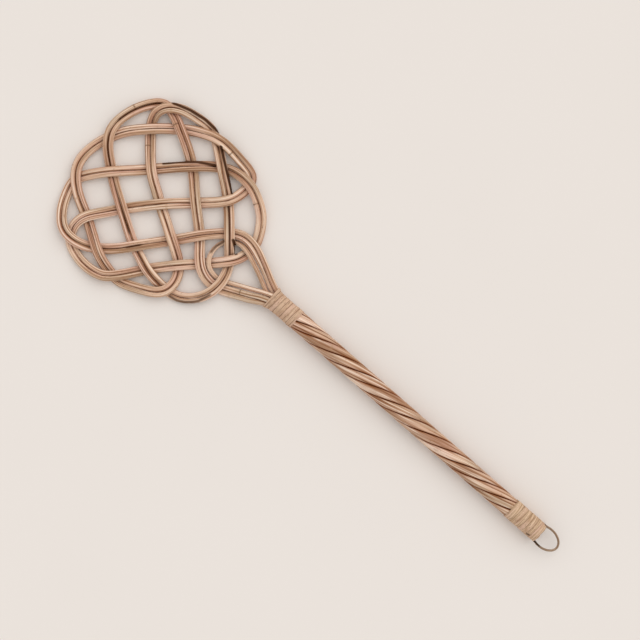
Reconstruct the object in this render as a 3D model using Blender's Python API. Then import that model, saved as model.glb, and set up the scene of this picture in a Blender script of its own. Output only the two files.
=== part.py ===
"""Carpet beater: two rattan canes woven side by side into a round knot, lying flat.

The floor is z = 0. The handle runs along -Y and the head lies at +Y. While the
pieces are made, y = 0 is the end of the neck binding on the handle's side.
"""

import math

import bmesh
import bpy
import numpy as np
from mathutils import Vector

# Canes
CANE_DIAMETER = 0.0066
EYE_CANE_DIAMETER = 0.0058
PAIR_GAP = 0.0005
SEAT_GAP = 0.0003
CANE_SIDE_LEVEL = 1
HEAD_RING_SPACING = 0.0105
BEND_LENGTH = 0.012
HANDLE_RING_SPACING = 0.0120
NECK_RING_SPACING = 0.0040

# Head
HEAD_WIDTH = 0.237

# Handle
HANDLE_LENGTH = 0.390
CANE_RECESS = 0.0035
CORE_DIAMETER = 0.0092
CORE_EDGE = 0.0008
CORE_SIDES = 16
SHARP_ANGLE = math.radians(40)
STRANDS = 6
TWIST_STEPS = 14.5
NECK_TWIST_POWER = 1.7

# Bindings of flat cane
STRIP_THICKNESS = 0.0009
STRIP_CROWN = 0.0002
STRIP_CROWN_SHARE = 0.5
STRIP_GAP = 0.0005
NECK_STRIP_WIDTH = 0.0048
NECK_TURNS = 8
END_STRIP_WIDTH = 0.0055
END_TURNS = 8
TURN_POINTS = 24
FLAT_DEPTH = 0.0005
STRIP_START_ANGLE = math.radians(-52.5)

# Hanging loop
LOOP_DIAMETER = 0.0028
LOOP_WIDTH = 0.0276
LOOP_REACH = 0.0277
LOOP_LEG_LENGTH = 0.020
LOOP_LEG_RISE = 0.0014
LOOP_RISE_LENGTH = 0.012
LOOP_SPREAD_LENGTH = 0.008
LOOP_POINT_SPACING = 0.0030

# Neck, where the lower branch comes to lie over the upper one. A cane's steps count
# sixths of a turn round the handle, from the outer cane of its branch
OUTER_STEPS = 0
MIDDLE_STEPS = -1
EYE_STEPS = -2
NECK_SPREAD_LENGTH = 0.016
BRANCH_SLOPE = 0.48
BRANCH_DROP_LENGTH = 0.052
BRANCH_STACK_LENGTH = 0.032
BRANCH_CLOSE_SHARE = 0.3
BRANCH_LIFT_SHARE = 0.5
OUTER_STACK_SHARES = (1.44, 0.0)
MIDDLE_STACK_SHARES = (0.70, -0.62)
EYE_STACK_SHARES = (-0.24, -0.62)
ROUND_NECK_SHARE = 0.4
CORE_TOP_SHARE = 0.25

# Photograph: the head's width there, the neck binding's edge and the handle's end
PHOTO_HEAD_WIDTH = 196.5
PHOTO_NECK = (271.0, 297.0)
PHOTO_HANDLE_END = (539.2, 532.6)

# Photograph: the middle line of the doubled cane, from the upper branch round the
# whole knot to the lower branch. Rows cross the head and columns run down it.
PHOTO_UPPER_BRANCH = ((265.1, 270), (260.5, 260), (255.5, 250.5), (249.7, 242.7), (243, 237.5))
PHOTO_FOURTH_ROW = (
    (235, 235), (220, 234), (200, 236), (185, 238.5), (160, 242), (135, 246),
    (120, 248.5), (105, 249), (92, 247.5), (80, 244.5))
PHOTO_FAR_LEFT_LOBE = (
    (70, 238), (63, 229), (60.8, 218), (62, 205), (65, 196), (68, 188), (71.5, 182), (76, 177.5))
PHOTO_SECOND_ROW = (
    (84, 175), (97, 173), (110, 171.5), (130, 170.3), (150, 169), (165, 167.5), (180, 167),
    (200, 166), (215, 166), (228, 168.5), (240, 174.5))
PHOTO_RIGHT_LOBE = (
    (250, 184), (256, 195), (260, 207), (261.7, 216), (260.5, 229), (257.5, 240), (253, 247),
    (246.5, 253.5))
PHOTO_FIFTH_ROW = (
    (240, 258), (230, 261.5), (215, 263), (190, 264.3), (165, 266.5), (146, 269), (130, 273))
PHOTO_LOWER_LEFT_LOBE = (
    (120, 275), (110, 276), (103, 275.7), (95, 272.5), (87, 267), (80, 260.5), (74, 252),
    (70, 243), (69.5, 235), (72, 227), (78, 220.5), (86, 216))
PHOTO_THIRD_ROW = (
    (95, 214), (105, 212), (121, 208.5), (140, 206), (165, 203.7), (180, 203), (196, 202.5),
    (215, 202.5), (225, 201.5), (232, 199.5), (238, 196), (244, 191))
PHOTO_RIGHT_TURN = ((249, 185), (251.5, 178.5), (249.5, 172), (244, 165), (237, 157))
PHOTO_FIRST_ROW = (
    (229, 148), (220, 140.5), (210, 135), (200, 131.5), (190, 129), (180, 128), (165, 127.8),
    (150, 128.5), (130, 130), (120, 132), (107, 137))
PHOTO_FIRST_COLUMN = (
    (98, 142), (90, 148), (83, 155), (78, 163), (75.5, 172), (75.5, 182), (77, 192), (80, 202),
    (84, 212), (89.7, 228), (96, 248), (100, 258), (105, 266), (110, 273))
PHOTO_BOTTOM_LOBE = (
    (116, 279.5), (124, 284), (137, 288), (150, 291.5), (160, 292.3), (168, 289.5),
    (173, 284.5), (176.5, 278), (178, 271))
PHOTO_THIRD_COLUMN = (
    (178, 262), (175.5, 250), (172, 240), (165.5, 220), (159.5, 204), (156, 190), (153, 180),
    (151, 170), (150.2, 155), (149.8, 140), (150, 129), (151.5, 121))
PHOTO_TOP_ARC = (
    (154, 115), (158, 110.7), (164, 108.3), (170, 108), (178, 109), (185, 111.5), (192, 115.3),
    (200, 120.5), (206, 125.3), (211, 130), (214.5, 136))
PHOTO_FIFTH_COLUMN = (
    (217, 143), (219, 150), (223, 170), (227, 190), (229.3, 210), (229.8, 230), (230, 250),
    (229.3, 262), (227, 270))
PHOTO_LOWER_RIGHT_LOBE = (
    (224.5, 277), (220, 284), (213, 291), (204, 296), (195, 298.3), (186, 298.5), (177, 297),
    (169, 292.5), (162.5, 287.5))
PHOTO_SECOND_COLUMN = (
    (157, 282), (150.5, 274.5), (145, 267), (137, 252.5), (130.5, 239), (125.5, 220),
    (119.3, 200), (112.5, 180), (109, 160), (107.5, 150), (108, 139), (111, 129))
PHOTO_TOP_LOBE = (
    (117.5, 121), (125, 115), (133, 110), (142, 106), (150, 104), (158, 102.6), (165.5, 104),
    (171, 109.5))
PHOTO_FOURTH_COLUMN = (
    (175.5, 117), (178.5, 123.5), (185, 140), (190.5, 158), (193.5, 175), (194.5, 190),
    (196.5, 210), (199, 228), (199.8, 243), (199.3, 258), (201, 268.5), (205.5, 277.5),
    (212, 284.5))
PHOTO_LOWER_BRANCH = ((220, 289), (234, 293), (248, 297))
PHOTO_PAIR_ROUTE = (
    PHOTO_UPPER_BRANCH + PHOTO_FOURTH_ROW + PHOTO_FAR_LEFT_LOBE + PHOTO_SECOND_ROW
    + PHOTO_RIGHT_LOBE + PHOTO_FIFTH_ROW + PHOTO_LOWER_LEFT_LOBE + PHOTO_THIRD_ROW
    + PHOTO_RIGHT_TURN + PHOTO_FIRST_ROW + PHOTO_FIRST_COLUMN + PHOTO_BOTTOM_LOBE
    + PHOTO_THIRD_COLUMN + PHOTO_TOP_ARC + PHOTO_FIFTH_COLUMN + PHOTO_LOWER_RIGHT_LOBE
    + PHOTO_SECOND_COLUMN + PHOTO_TOP_LOBE + PHOTO_FOURTH_COLUMN + PHOTO_LOWER_BRANCH)

# Photograph: the single cane that lines both branches and makes the eye between them
PHOTO_EYE_ROUTE = (
    (257.3, 270), (252.3, 260), (248, 252), (243, 246), (237, 241.8), (230, 240),
    (223, 241.5), (217, 245), (212, 251), (209, 258), (208.5, 265), (210.5, 272),
    (216, 278), (224, 281.5), (235, 284.3), (248, 288.4))

# Settling: how the canes are moved apart where they would touch
SETTLE_ROUNDS = 90
SETTLE_LAST_ROUNDS = 60
SETTLE_STIFFNESS = 0.35
SETTLE_SKIPPED_NEIGHBOURS = 3
SETTLE_SEARCH_ROUNDS = 10
SETTLE_GAP_SHARE = 1.1
LEAST_SKEW_SHARE = 1e-9
LEAST_GIVE_SHARE = 1e-6
LEAST_LENGTH = 1e-9
SPLINE_STEPS = 12

# Sizes that follow
CANE_RADIUS = CANE_DIAMETER / 2
EYE_CANE_RADIUS = EYE_CANE_DIAMETER / 2
CORE_RADIUS = CORE_DIAMETER / 2
LOOP_RADIUS = LOOP_DIAMETER / 2
PAIR_PITCH = CANE_DIAMETER + PAIR_GAP
WEAVE_LIFT = (CANE_DIAMETER + SEAT_GAP) / 2
STRAND_STEP = 2 * math.pi / STRANDS
NECK_PITCH = NECK_STRIP_WIDTH + STRIP_GAP
NECK_LENGTH = NECK_TURNS * NECK_PITCH
CORE_TOP = CORE_TOP_SHARE * NECK_LENGTH
BUTT = -HANDLE_LENGTH
CANE_END = BUTT + CANE_RECESS
TWIST_RATE = TWIST_STEPS * STRAND_STEP / (HANDLE_LENGTH + NECK_LENGTH / NECK_TWIST_POWER)
NECK_TWIST = TWIST_RATE * NECK_LENGTH / NECK_TWIST_POWER
RING_ALLOWANCE = 1 / math.cos(TWIST_RATE * HANDLE_RING_SPACING / 2)
BUNDLE_RADIUS = (CORE_RADIUS + SEAT_GAP + CANE_RADIUS) * RING_ALLOWANCE + CANE_RADIUS
AXIS_HEIGHT = BUNDLE_RADIUS + SEAT_GAP + STRIP_THICKNESS + STRIP_CROWN - FLAT_DEPTH
HEAD_HEIGHT = CANE_RADIUS + WEAVE_LIFT
PHOTO_SCALE = HEAD_WIDTH / PHOTO_HEAD_WIDTH

# Printed sizes are in millimetres
MM_PER_M = 1000

# Finishes: colour and roughness
CANE_COLOUR = (0.49, 0.28, 0.16)
EYE_COLOUR = (0.45, 0.27, 0.16)
CORE_COLOUR = (0.50, 0.34, 0.20)
NECK_STRIP_COLOUR = (0.50, 0.31, 0.18)
END_STRIP_COLOUR = (0.54, 0.35, 0.19)
LOOP_COLOUR = (0.30, 0.21, 0.13)
CANE_ROUGHNESS = 0.42
STRIP_ROUGHNESS = 0.55
CORE_ROUGHNESS = 0.8


def smooth_step(value):
    """Rise smoothly from 0 to 1 while the value goes from 0 to 1."""
    value = np.clip(value, 0.0, 1.0)
    return value * value * (3 - 2 * value)


def plan_points(photo_points):
    """Turn points of the photograph into metres, with the handle along -Y."""
    points = np.array(photo_points, dtype=float) - np.array(PHOTO_NECK)
    along = np.array(PHOTO_NECK) - np.array(PHOTO_HANDLE_END)
    along /= np.linalg.norm(along)
    across = np.array((-along[1], along[0]))
    plan = np.stack((points @ across, points @ along), axis=1) * PHOTO_SCALE
    return plan + np.array((0.0, NECK_LENGTH))


def smooth_route(points):
    """Read a cubic B-spline that follows the points and keeps both ends."""
    ends = (2 * points[:1] - points[1:2], 2 * points[-1:] - points[-2:-1])
    knots = np.concatenate((ends[0], points, ends[1]))
    steps = np.arange(SPLINE_STEPS) / SPLINE_STEPS
    weights = np.stack((
        (1 - steps) ** 3,
        3 * steps ** 3 - 6 * steps ** 2 + 4,
        -3 * steps ** 3 + 3 * steps ** 2 + 3 * steps + 1,
        steps ** 3), axis=1) / 6
    spans = [weights @ knots[first:first + 4] for first in range(len(knots) - 3)]
    return np.concatenate(spans + [points[-1:]])


def path_lengths(points):
    """Give the length of the path up to each of its points."""
    steps = np.linalg.norm(np.diff(points, axis=0), axis=1)
    return np.concatenate(([0.0], np.cumsum(steps)))


def spaced(points, spacing):
    """Read points along a path, closer together where it bends."""
    lengths = path_lengths(points)
    headings = np.diff(points, axis=0)
    headings /= np.linalg.norm(headings, axis=1)[:, None]
    turns = np.concatenate(([0.0], np.linalg.norm(np.diff(headings, axis=0), axis=1), [0.0]))
    lengths = lengths + BEND_LENGTH * np.cumsum(turns)
    count = max(2, round(lengths[-1] / spacing) + 1)
    wanted = np.linspace(0.0, lengths[-1], count)
    return np.stack([np.interp(wanted, lengths, column) for column in points.T], axis=1)


def moved_aside(points, distances):
    """Shift each point of a plan route to the right of its direction of travel."""
    ahead = np.gradient(points, axis=0)
    ahead /= np.linalg.norm(ahead, axis=1)[:, None]
    return points + distances[:, None] * np.stack((ahead[:, 1], -ahead[:, 0]), axis=1)


def side_of(start, end, points):
    """Tell on which side of a line the points lie, by the sign."""
    line = end - start
    away = points - start
    return line[..., 0] * away[..., 1] - line[..., 1] * away[..., 0]


def crossings(route, other):
    """List where a plan route meets another, or itself, as lengths along both."""
    same = route is other
    route_lengths = path_lengths(route)
    other_lengths = path_lengths(other)
    found = []
    for index in range(len(route) - 1):
        first = index + 2 if same else 0
        starts = other[first:-1]
        ends = other[first + 1:]
        if len(starts) == 0:
            continue
        start_side = side_of(starts, ends, route[index])
        end_side = side_of(starts, ends, route[index + 1])
        apart = side_of(route[index], route[index + 1], starts)
        beyond = side_of(route[index], route[index + 1], ends)
        for hit in np.flatnonzero((start_side * end_side < 0) & (apart * beyond < 0)):
            found.append((route_lengths[index], other_lengths[first + hit]))
    return found


def over_and_under(route, other):
    """Give the height of a route over the head's middle plane, over and under in turn."""
    found = crossings(route, other)
    meetings = sorted(place for pair in found for place in pair) if route is other else [
        place for place, _ in found]
    lengths = path_lengths(route)
    heights = np.zeros(len(route))
    places = [0.0] + meetings + [lengths[-1]]
    levels = [0.0] + [(-1) ** turn for turn in range(len(meetings))] + [0.0]
    for start, end, low, high in zip(places, places[1:], levels, levels[1:]):
        within = (lengths >= start) & (lengths <= end)
        share = (lengths[within] - start) / (end - start)
        swing = (1 - np.cos(math.pi * share)) / 2
        heights[within] = WEAVE_LIFT * (low + (high - low) * swing)
    return heights


def plane_height(y):
    """Give the height of the middle plane, which drops from the handle to the head."""
    share = smooth_step((y - NECK_LENGTH) / BRANCH_DROP_LENGTH)
    return AXIS_HEIGHT + (HEAD_HEIGHT - AXIS_HEIGHT) * share


def twist_at(y):
    """Give how far the bundle has turned, from none at the neck's head end."""
    if y > 0:
        return -NECK_TWIST * ((NECK_LENGTH - y) / NECK_LENGTH) ** NECK_TWIST_POWER
    return -NECK_TWIST + TWIST_RATE * y


def strand_radius(radius):
    """Give how far a cane's middle lies from the handle's, clear of the core between rings."""
    return (CORE_RADIUS + SEAT_GAP + radius) * RING_ALLOWANCE


def strand(steps, stack_shares, flipped, radius):
    """Give a cane's course in the handle, from the butt up to the neck's head end."""
    ring_radius = strand_radius(radius)
    side = -1 if flipped else 1
    handle_rings = round(-CANE_END / HANDLE_RING_SPACING) + 1
    neck_rings = round(NECK_LENGTH / NECK_RING_SPACING) + 1
    handle_y = np.linspace(CANE_END, 0.0, handle_rings)
    neck_y = np.linspace(0.0, NECK_LENGTH, neck_rings)[1:]
    points = []
    for y in np.concatenate((handle_y, neck_y)):
        spread = np.clip((y - NECK_LENGTH) / NECK_SPREAD_LENGTH + 1, 0.0, 1.0)
        share = smooth_step(spread)
        lean = (spread ** 3 - spread ** 2) * NECK_SPREAD_LENGTH * BRANCH_SLOPE
        angle = steps * STRAND_STEP + twist_at(y)
        x = ring_radius * math.cos(angle) * (1 - share) + stack_shares[0] * PAIR_PITCH * share
        z = ring_radius * math.sin(angle) * (1 - share) + stack_shares[1] * PAIR_PITCH * share
        points.append((side * (x + lean), y, AXIS_HEIGHT + side * z))
    return np.array(points)


def joined(start_points, end_points, spacing):
    """Join two stretches of cane with a curve that leaves and meets them in line."""
    start, end = start_points[-1], end_points[0]
    reach = np.linalg.norm(end - start)
    leaving = start - start_points[-2]
    leaving *= reach / np.linalg.norm(leaving)
    meeting = end_points[1] - end
    meeting *= reach / np.linalg.norm(meeting)
    share = np.linspace(0.0, 1.0, max(2, round(reach / spacing) + 1))[1:-1, None]
    bridge = (
        (2 * share ** 3 - 3 * share ** 2 + 1) * start
        + (share ** 3 - 2 * share ** 2 + share) * leaving
        + (3 * share ** 2 - 2 * share ** 3) * end
        + (share ** 3 - share ** 2) * meeting)
    return np.concatenate((start_points, bridge, end_points))


def in_the_head(plan, heights):
    """Give a plan route its heights and even ring places."""
    height = plane_height(plan[:, 1]) + heights
    return spaced(np.column_stack((plan, height)), HEAD_RING_SPACING)


def whole_cane(first_strand, head, last_strand):
    """Join a cane's run in the head to both of its runs in the handle."""
    start = joined(first_strand, head, NECK_RING_SPACING)
    return joined(start, last_strand[::-1], NECK_RING_SPACING)


def cane_courses():
    """Lay out the two weaving canes and the eye cane, before they settle."""
    pair = smooth_route(plan_points(PHOTO_PAIR_ROUTE))
    eye = smooth_route(plan_points(PHOTO_EYE_ROUTE))
    pair_heights = over_and_under(pair, pair)
    stacked = 1 - smooth_step(path_lengths(pair) / BRANCH_STACK_LENGTH)
    eye_heights = over_and_under(eye, pair)
    courses = {}
    canes = (
        ("weave_cane_outer", PAIR_PITCH / 2, OUTER_STEPS, OUTER_STACK_SHARES),
        ("weave_cane_inner", -PAIR_PITCH / 2, MIDDLE_STEPS, MIDDLE_STACK_SHARES))
    for name, aside, steps, stack in canes:
        plan = moved_aside(pair, aside * (1 - BRANCH_CLOSE_SHARE * stacked))
        head = in_the_head(plan, pair_heights + aside * BRANCH_LIFT_SHARE * stacked)
        courses[name] = whole_cane(
            strand(steps, stack, False, CANE_RADIUS), head, strand(steps, stack, True, CANE_RADIUS))
    eye_strands = [strand(EYE_STEPS, EYE_STACK_SHARES, flipped, EYE_CANE_RADIUS)
                   for flipped in (False, True)]
    courses["eye_cane"] = whole_cane(
        eye_strands[0], in_the_head(eye, eye_heights), eye_strands[1])
    return courses


def nearest_places(start_a, end_a, start_b, end_b):
    """Give where two straight stretches come nearest, as shares of their lengths."""
    run_a, run_b, between = end_a - start_a, end_b - start_b, start_a - start_b
    square_a = np.sum(run_a * run_a, axis=1)
    square_b = np.sum(run_b * run_b, axis=1)
    mixed = np.sum(run_a * run_b, axis=1)
    to_a = np.sum(run_a * between, axis=1)
    to_b = np.sum(run_b * between, axis=1)
    skew = square_a * square_b - mixed * mixed
    parallel = skew < LEAST_SKEW_SHARE * square_a * square_b
    share_a = np.where(parallel, 0.5, (mixed * to_b - to_a * square_b) / np.where(parallel, 1, skew))
    share_a = np.clip(share_a, 0, 1)
    share_b = np.clip((mixed * share_a + to_b) / square_b, 0, 1)
    share_a = np.clip((mixed * share_b - to_a) / square_a, 0, 1)
    return share_a, share_b


class Settling:
    """The canes' centre lines as stretches that must not come too near each other."""

    def __init__(self, courses, radii, fixed):
        self.names = list(courses)
        self.start = np.concatenate([courses[name] for name in self.names])
        self.points = self.start.copy()
        sizes = [len(courses[name]) for name in self.names]
        self.bounds = np.concatenate(([0], np.cumsum(sizes)))
        self.radius = np.concatenate([np.full(size, radii[name])
                                      for name, size in zip(self.names, sizes)])
        self.owner = np.concatenate([np.full(size, index) for index, size in enumerate(sizes)])
        self.free = (self.start[:, 1] > 0).astype(float)
        for name in fixed:
            self.free[self.slice_of(name)] = 0.0
        last = self.bounds[1:] - 1
        self.stretches = np.setdiff1d(np.arange(len(self.start)), last)

    def slice_of(self, name):
        """Give the slice of all points that belongs to one cane."""
        index = self.names.index(name)
        return slice(self.bounds[index], self.bounds[index + 1])

    def close_pairs(self, margin):
        """List the stretches that are near enough to matter."""
        ids = self.stretches
        middles = (self.points[ids] + self.points[ids + 1]) / 2
        halves = np.linalg.norm(self.points[ids + 1] - self.points[ids], axis=1) / 2
        gaps = np.linalg.norm(middles[:, None] - middles[None], axis=2)
        limit = halves[:, None] + halves + self.radius[ids][:, None] + self.radius[ids] + margin
        first, second = np.nonzero(np.triu(gaps < limit, 1))
        apart = self.owner[ids[first]] != self.owner[ids[second]]
        apart |= ids[second] - ids[first] > SETTLE_SKIPPED_NEIGHBOURS
        return ids[first[apart]], ids[second[apart]]

    def spaces(self, first, second):
        """Measure the least space between the skins of each pair of stretches."""
        points = self.points
        share_a, share_b = nearest_places(
            points[first], points[first + 1], points[second], points[second + 1])
        place_a = points[first] + share_a[:, None] * (points[first + 1] - points[first])
        place_b = points[second] + share_b[:, None] * (points[second + 1] - points[second])
        between = place_a - place_b
        distance = np.linalg.norm(between, axis=1)
        space = distance - self.radius[first] - self.radius[second]
        return space, between / np.maximum(distance, LEAST_LENGTH)[:, None], share_a, share_b

    def push_apart(self, first, second, wanted):
        """Move stretches that are too near each other apart, half the way each."""
        space, direction, share_a, share_b = self.spaces(first, second)
        near = space < wanted
        first, second, direction = first[near], second[near], direction[near]
        share_a, share_b, lack = share_a[near], share_b[near], (wanted - space)[near]
        corners = ((first, 1 - share_a, 1), (first + 1, share_a, 1),
                   (second, 1 - share_b, -1), (second + 1, share_b, -1))
        give = sum(share ** 2 * self.free[ids] for ids, share, _ in corners)
        pull = lack / np.maximum(give, LEAST_GIVE_SHARE)
        moves = np.zeros_like(self.points)
        counts = np.zeros(len(self.points))
        for ids, share, sign in corners:
            step = (sign * pull * share * self.free[ids])[:, None] * direction
            np.add.at(moves, ids, step)
            np.add.at(counts, ids, share)
        self.points += moves / np.maximum(counts, 1.0)[:, None]

    def ease(self):
        """Even out the moves along each cane, so that it stays a fair curve."""
        moves = self.points - self.start
        for begin, end in zip(self.bounds, self.bounds[1:]):
            run = moves[begin:end]
            middle = (run[:-2] + run[2:]) / 2 - run[1:-1]
            run[1:-1] += SETTLE_STIFFNESS * middle * self.free[begin + 1:end - 1, None]
        self.points = self.start + moves

    def keep_off_floor(self):
        """Lift what would sink into the floor."""
        low = (self.points[:, 2] < self.radius) & (self.free > 0)
        self.points[low, 2] = self.radius[low]

    def run(self, wanted):
        """Settle the canes, and give the least space that is left between them."""
        for turn in range(SETTLE_ROUNDS + SETTLE_LAST_ROUNDS):
            if turn % SETTLE_SEARCH_ROUNDS == 0:
                first, second = self.close_pairs(wanted + CANE_RADIUS)
            self.push_apart(first, second, wanted)
            if turn < SETTLE_ROUNDS:
                self.ease()
            self.keep_off_floor()
        first, second = self.close_pairs(wanted)
        return self.spaces(first, second)[0].min()


def settled_canes():
    """Lay the canes and the handle's core, and move the canes clear of each other."""
    courses = cane_courses()
    core_y = np.arange(CANE_END, CORE_TOP, HEAD_RING_SPACING)
    courses["handle_core"] = np.column_stack((
        np.zeros(len(core_y)), core_y, np.full(len(core_y), AXIS_HEIGHT)))
    radii = {"weave_cane_outer": CANE_RADIUS, "weave_cane_inner": CANE_RADIUS,
             "eye_cane": EYE_CANE_RADIUS, "handle_core": CORE_RADIUS}
    settling = Settling(courses, radii, fixed=("handle_core",))
    space = settling.run(SETTLE_GAP_SHARE * SEAT_GAP)
    print("least space between the canes, mm:", round(space * MM_PER_M, 3))
    return {name: settling.points[settling.slice_of(name)] for name in courses}


def finish(name, colour, roughness):
    """Make a sub-part's own material."""
    material = bpy.data.materials.new(name)
    material.use_nodes = True
    shader = material.node_tree.nodes["Principled BSDF"]
    shader.inputs["Base Color"].default_value = (*colour, 1.0)
    shader.inputs["Roughness"].default_value = roughness
    shader.inputs["Metallic"].default_value = 0.0
    return material


def add_tube(name, points, radius, colour, roughness):
    """Make a round cane with filled ends along a path."""
    curve = bpy.data.curves.new(name, "CURVE")
    curve.dimensions = "3D"
    curve.fill_mode = "FULL"
    curve.twist_mode = "Z_UP"
    curve.bevel_depth = radius
    curve.bevel_resolution = CANE_SIDE_LEVEL
    curve.use_fill_caps = True
    spline = curve.splines.new("POLY")
    spline.points.add(len(points) - 1)
    for point, place in zip(spline.points, points):
        point.co = (*place, 1.0)
    spline.use_smooth = True
    tube = bpy.data.objects.new(name, curve)
    curve.materials.append(finish(name, colour, roughness))
    bpy.context.collection.objects.link(tube)
    return tube


def add_mesh(name, shape, colour, roughness):
    """Turn a bmesh into an object with smooth round faces and its own material."""
    bmesh.ops.recalc_face_normals(shape, faces=shape.faces)
    mesh = bpy.data.meshes.new(name)
    shape.to_mesh(mesh)
    shape.free()
    mesh.shade_smooth()
    mesh.set_sharp_from_angle(angle=SHARP_ANGLE)
    mesh.materials.append(finish(name, colour, roughness))
    piece = bpy.data.objects.new(name, mesh)
    bpy.context.collection.objects.link(piece)
    return piece


def add_core():
    """Make the straight stick inside the handle, with chamfered ends."""
    profile = (
        (CORE_RADIUS - CORE_EDGE, CANE_END), (CORE_RADIUS, CANE_END + CORE_EDGE),
        (CORE_RADIUS, CORE_TOP - CORE_EDGE), (CORE_RADIUS - CORE_EDGE, CORE_TOP))
    shape = bmesh.new()
    rings = []
    for reach, y in profile:
        angles = [2 * math.pi * side / CORE_SIDES for side in range(CORE_SIDES)]
        rings.append([shape.verts.new((
            reach * math.cos(angle), y, AXIS_HEIGHT + reach * math.sin(angle)))
            for angle in angles])
    skin_rings(shape, rings)
    return add_mesh("handle_core", shape, CORE_COLOUR, CORE_ROUGHNESS)


def skin_rings(shape, rings):
    """Join rings of corners with faces, and close the first and the last."""
    for ring, following in zip(rings, rings[1:]):
        for corner in range(len(ring)):
            after = (corner + 1) % len(ring)
            shape.faces.new((ring[corner], ring[after], following[after], following[corner]))
    shape.faces.new(rings[0])
    shape.faces.new(rings[-1])


def runs_through(courses):
    """List both runs of each cane through the bundle, butt first, with their radius."""
    radii = {"weave_cane_outer": CANE_RADIUS, "weave_cane_inner": CANE_RADIUS,
             "eye_cane": EYE_CANE_RADIUS, "hanging_loop": LOOP_RADIUS}
    runs = []
    for name, radius in radii.items():
        if name in courses:
            runs += [(courses[name], radius), (courses[name][::-1], radius)]
    return runs


def place_at(run, y):
    """Give the point where a run first passes a place along the handle, if it does."""
    rising = run[1, 1] > run[0, 1]
    passed = np.flatnonzero(run[:, 1] > y if rising else run[:, 1] < y)
    if len(passed) == 0:
        return None
    after = max(passed[0], 1)
    low, high = run[after - 1], run[after]
    share = np.clip((y - low[1]) / (high[1] - low[1]), 0.0, 1.0)
    return low + share * (high - low)


def strands_at(runs, y):
    """Give centre and radius of each strand where it passes a place along the handle."""
    found = []
    for run, radius in runs:
        leg_ends_before = run[1, 1] < run[0, 1] and run[0, 1] < y
        place = None if leg_ends_before else place_at(run, y)
        if place is not None:
            found.append((place[0], place[2] - AXIS_HEIGHT, radius))
    return np.array(found)


def wrap_axes(runs, y):
    """Give half the width and height of the least oval round the bundle."""
    strands = strands_at(runs, y)
    angles = np.linspace(0.0, 2 * math.pi, 2 * TURN_POINTS, endpoint=False)
    facing = np.stack((np.cos(angles), np.sin(angles)))
    oval_share = smooth_step((y / NECK_LENGTH - ROUND_NECK_SHARE) / (1 - ROUND_NECK_SHARE))
    reach = (strands[:, :2] @ facing + strands[:, 2:]).max(axis=0)
    reach = np.maximum(reach, BUNDLE_RADIUS * (1 - oval_share))
    half_width = reach[0]
    half_height = reach[TURN_POINTS // 2]
    oval = np.hypot(half_width * facing[0], half_height * facing[1])
    growth = (reach / oval).max()
    return half_width * growth + SEAT_GAP, half_height * growth + SEAT_GAP


def strip_corner(axes, angle, y, above):
    """Place a corner of a binding's strip, on or above the oval round the canes."""
    half_width, half_height = axes
    reach = 1 / math.hypot(math.cos(angle) / half_width, math.sin(angle) / half_height)
    x = (reach + above) * math.cos(angle)
    z = AXIS_HEIGHT + (reach + above) * math.sin(angle)
    return Vector((x, y, max(z, 0.0)))


def add_binding(name, runs, low_y, turns, width, colour):
    """Wind a flat cane in one unbroken strip round the bundle."""
    pitch = width + STRIP_GAP
    crown_height = STRIP_THICKNESS + STRIP_CROWN
    section = ((0, 0.0), (0, STRIP_THICKNESS), (1, crown_height), (2, STRIP_THICKNESS), (2, 0.0))
    width_shares = (0.0, STRIP_CROWN_SHARE, 1.0)
    shape = bmesh.new()
    rings = []
    for point in range((turns - 1) * TURN_POINTS + 1):
        turned = point / TURN_POINTS
        angle = STRIP_START_ANGLE + 2 * math.pi * turned
        edge = low_y + STRIP_GAP / 2 + turned * pitch
        places = [edge + share * width for share in width_shares]
        axes = [wrap_axes(runs, y) for y in places]
        corners = [strip_corner(axes[line], angle, places[line], above)
                   for line, above in section]
        rings.append([shape.verts.new(corner) for corner in corners])
    skin_rings(shape, rings)
    print(name, "least gap between its turns, mm:", round(least_turn_gap(rings) * MM_PER_M, 3))
    return add_mesh(name, shape, colour, STRIP_ROUGHNESS)


def least_turn_gap(rings):
    """Measure the least gap between each turn of a strip and the next one."""
    gaps = []
    for ring, after in zip(rings, rings[TURN_POINTS:]):
        gaps.append((after[0].co - ring[-1].co).length)
        gaps.append((after[1].co - ring[-2].co).length)
    return min(gaps)


def groove_radius():
    """Give how far from the axis a leg of the loop lies between two canes."""
    ring_radius = strand_radius(CANE_RADIUS)
    seat = CANE_RADIUS + LOOP_RADIUS + SEAT_GAP
    rise = max(seat ** 2 - (ring_radius * math.sin(STRAND_STEP / 2)) ** 2, 0.0)
    groove = ring_radius * math.cos(STRAND_STEP / 2) + math.sqrt(rise)
    return max(groove, CORE_RADIUS + SEAT_GAP + LOOP_RADIUS)


def loop_half():
    """Give one leg of the hanging loop in its groove and its way out to the far end."""
    side = LOOP_WIDTH / 2 - LOOP_RADIUS
    far = BUTT - LOOP_REACH + LOOP_RADIUS
    leg_points = round(LOOP_LEG_LENGTH / LOOP_POINT_SPACING) + 1
    leg = []
    for y in np.linspace(BUTT + LOOP_LEG_LENGTH, BUTT, leg_points):
        angle = twist_at(y) - twist_at(BUTT)
        rise = LOOP_LEG_RISE * smooth_step((BUTT + LOOP_RISE_LENGTH - y) / LOOP_RISE_LENGTH)
        reach = min(groove_radius() + rise, max(side, groove_radius()))
        leg.append((reach * math.cos(angle), y, AXIS_HEIGHT + reach * math.sin(angle)))
    bow_length = max(BUTT - LOOP_SPREAD_LENGTH - far, LOOP_RADIUS)
    bow = []
    for share in np.linspace(0.0, 1.0, TURN_POINTS // 4 + 1):
        angle = share * math.pi / 2
        bow.append((side * math.cos(angle), far + bow_length * (1 - math.sin(angle)), AXIS_HEIGHT))
    return joined(np.array(leg), np.array(bow), LOOP_POINT_SPACING)


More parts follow.
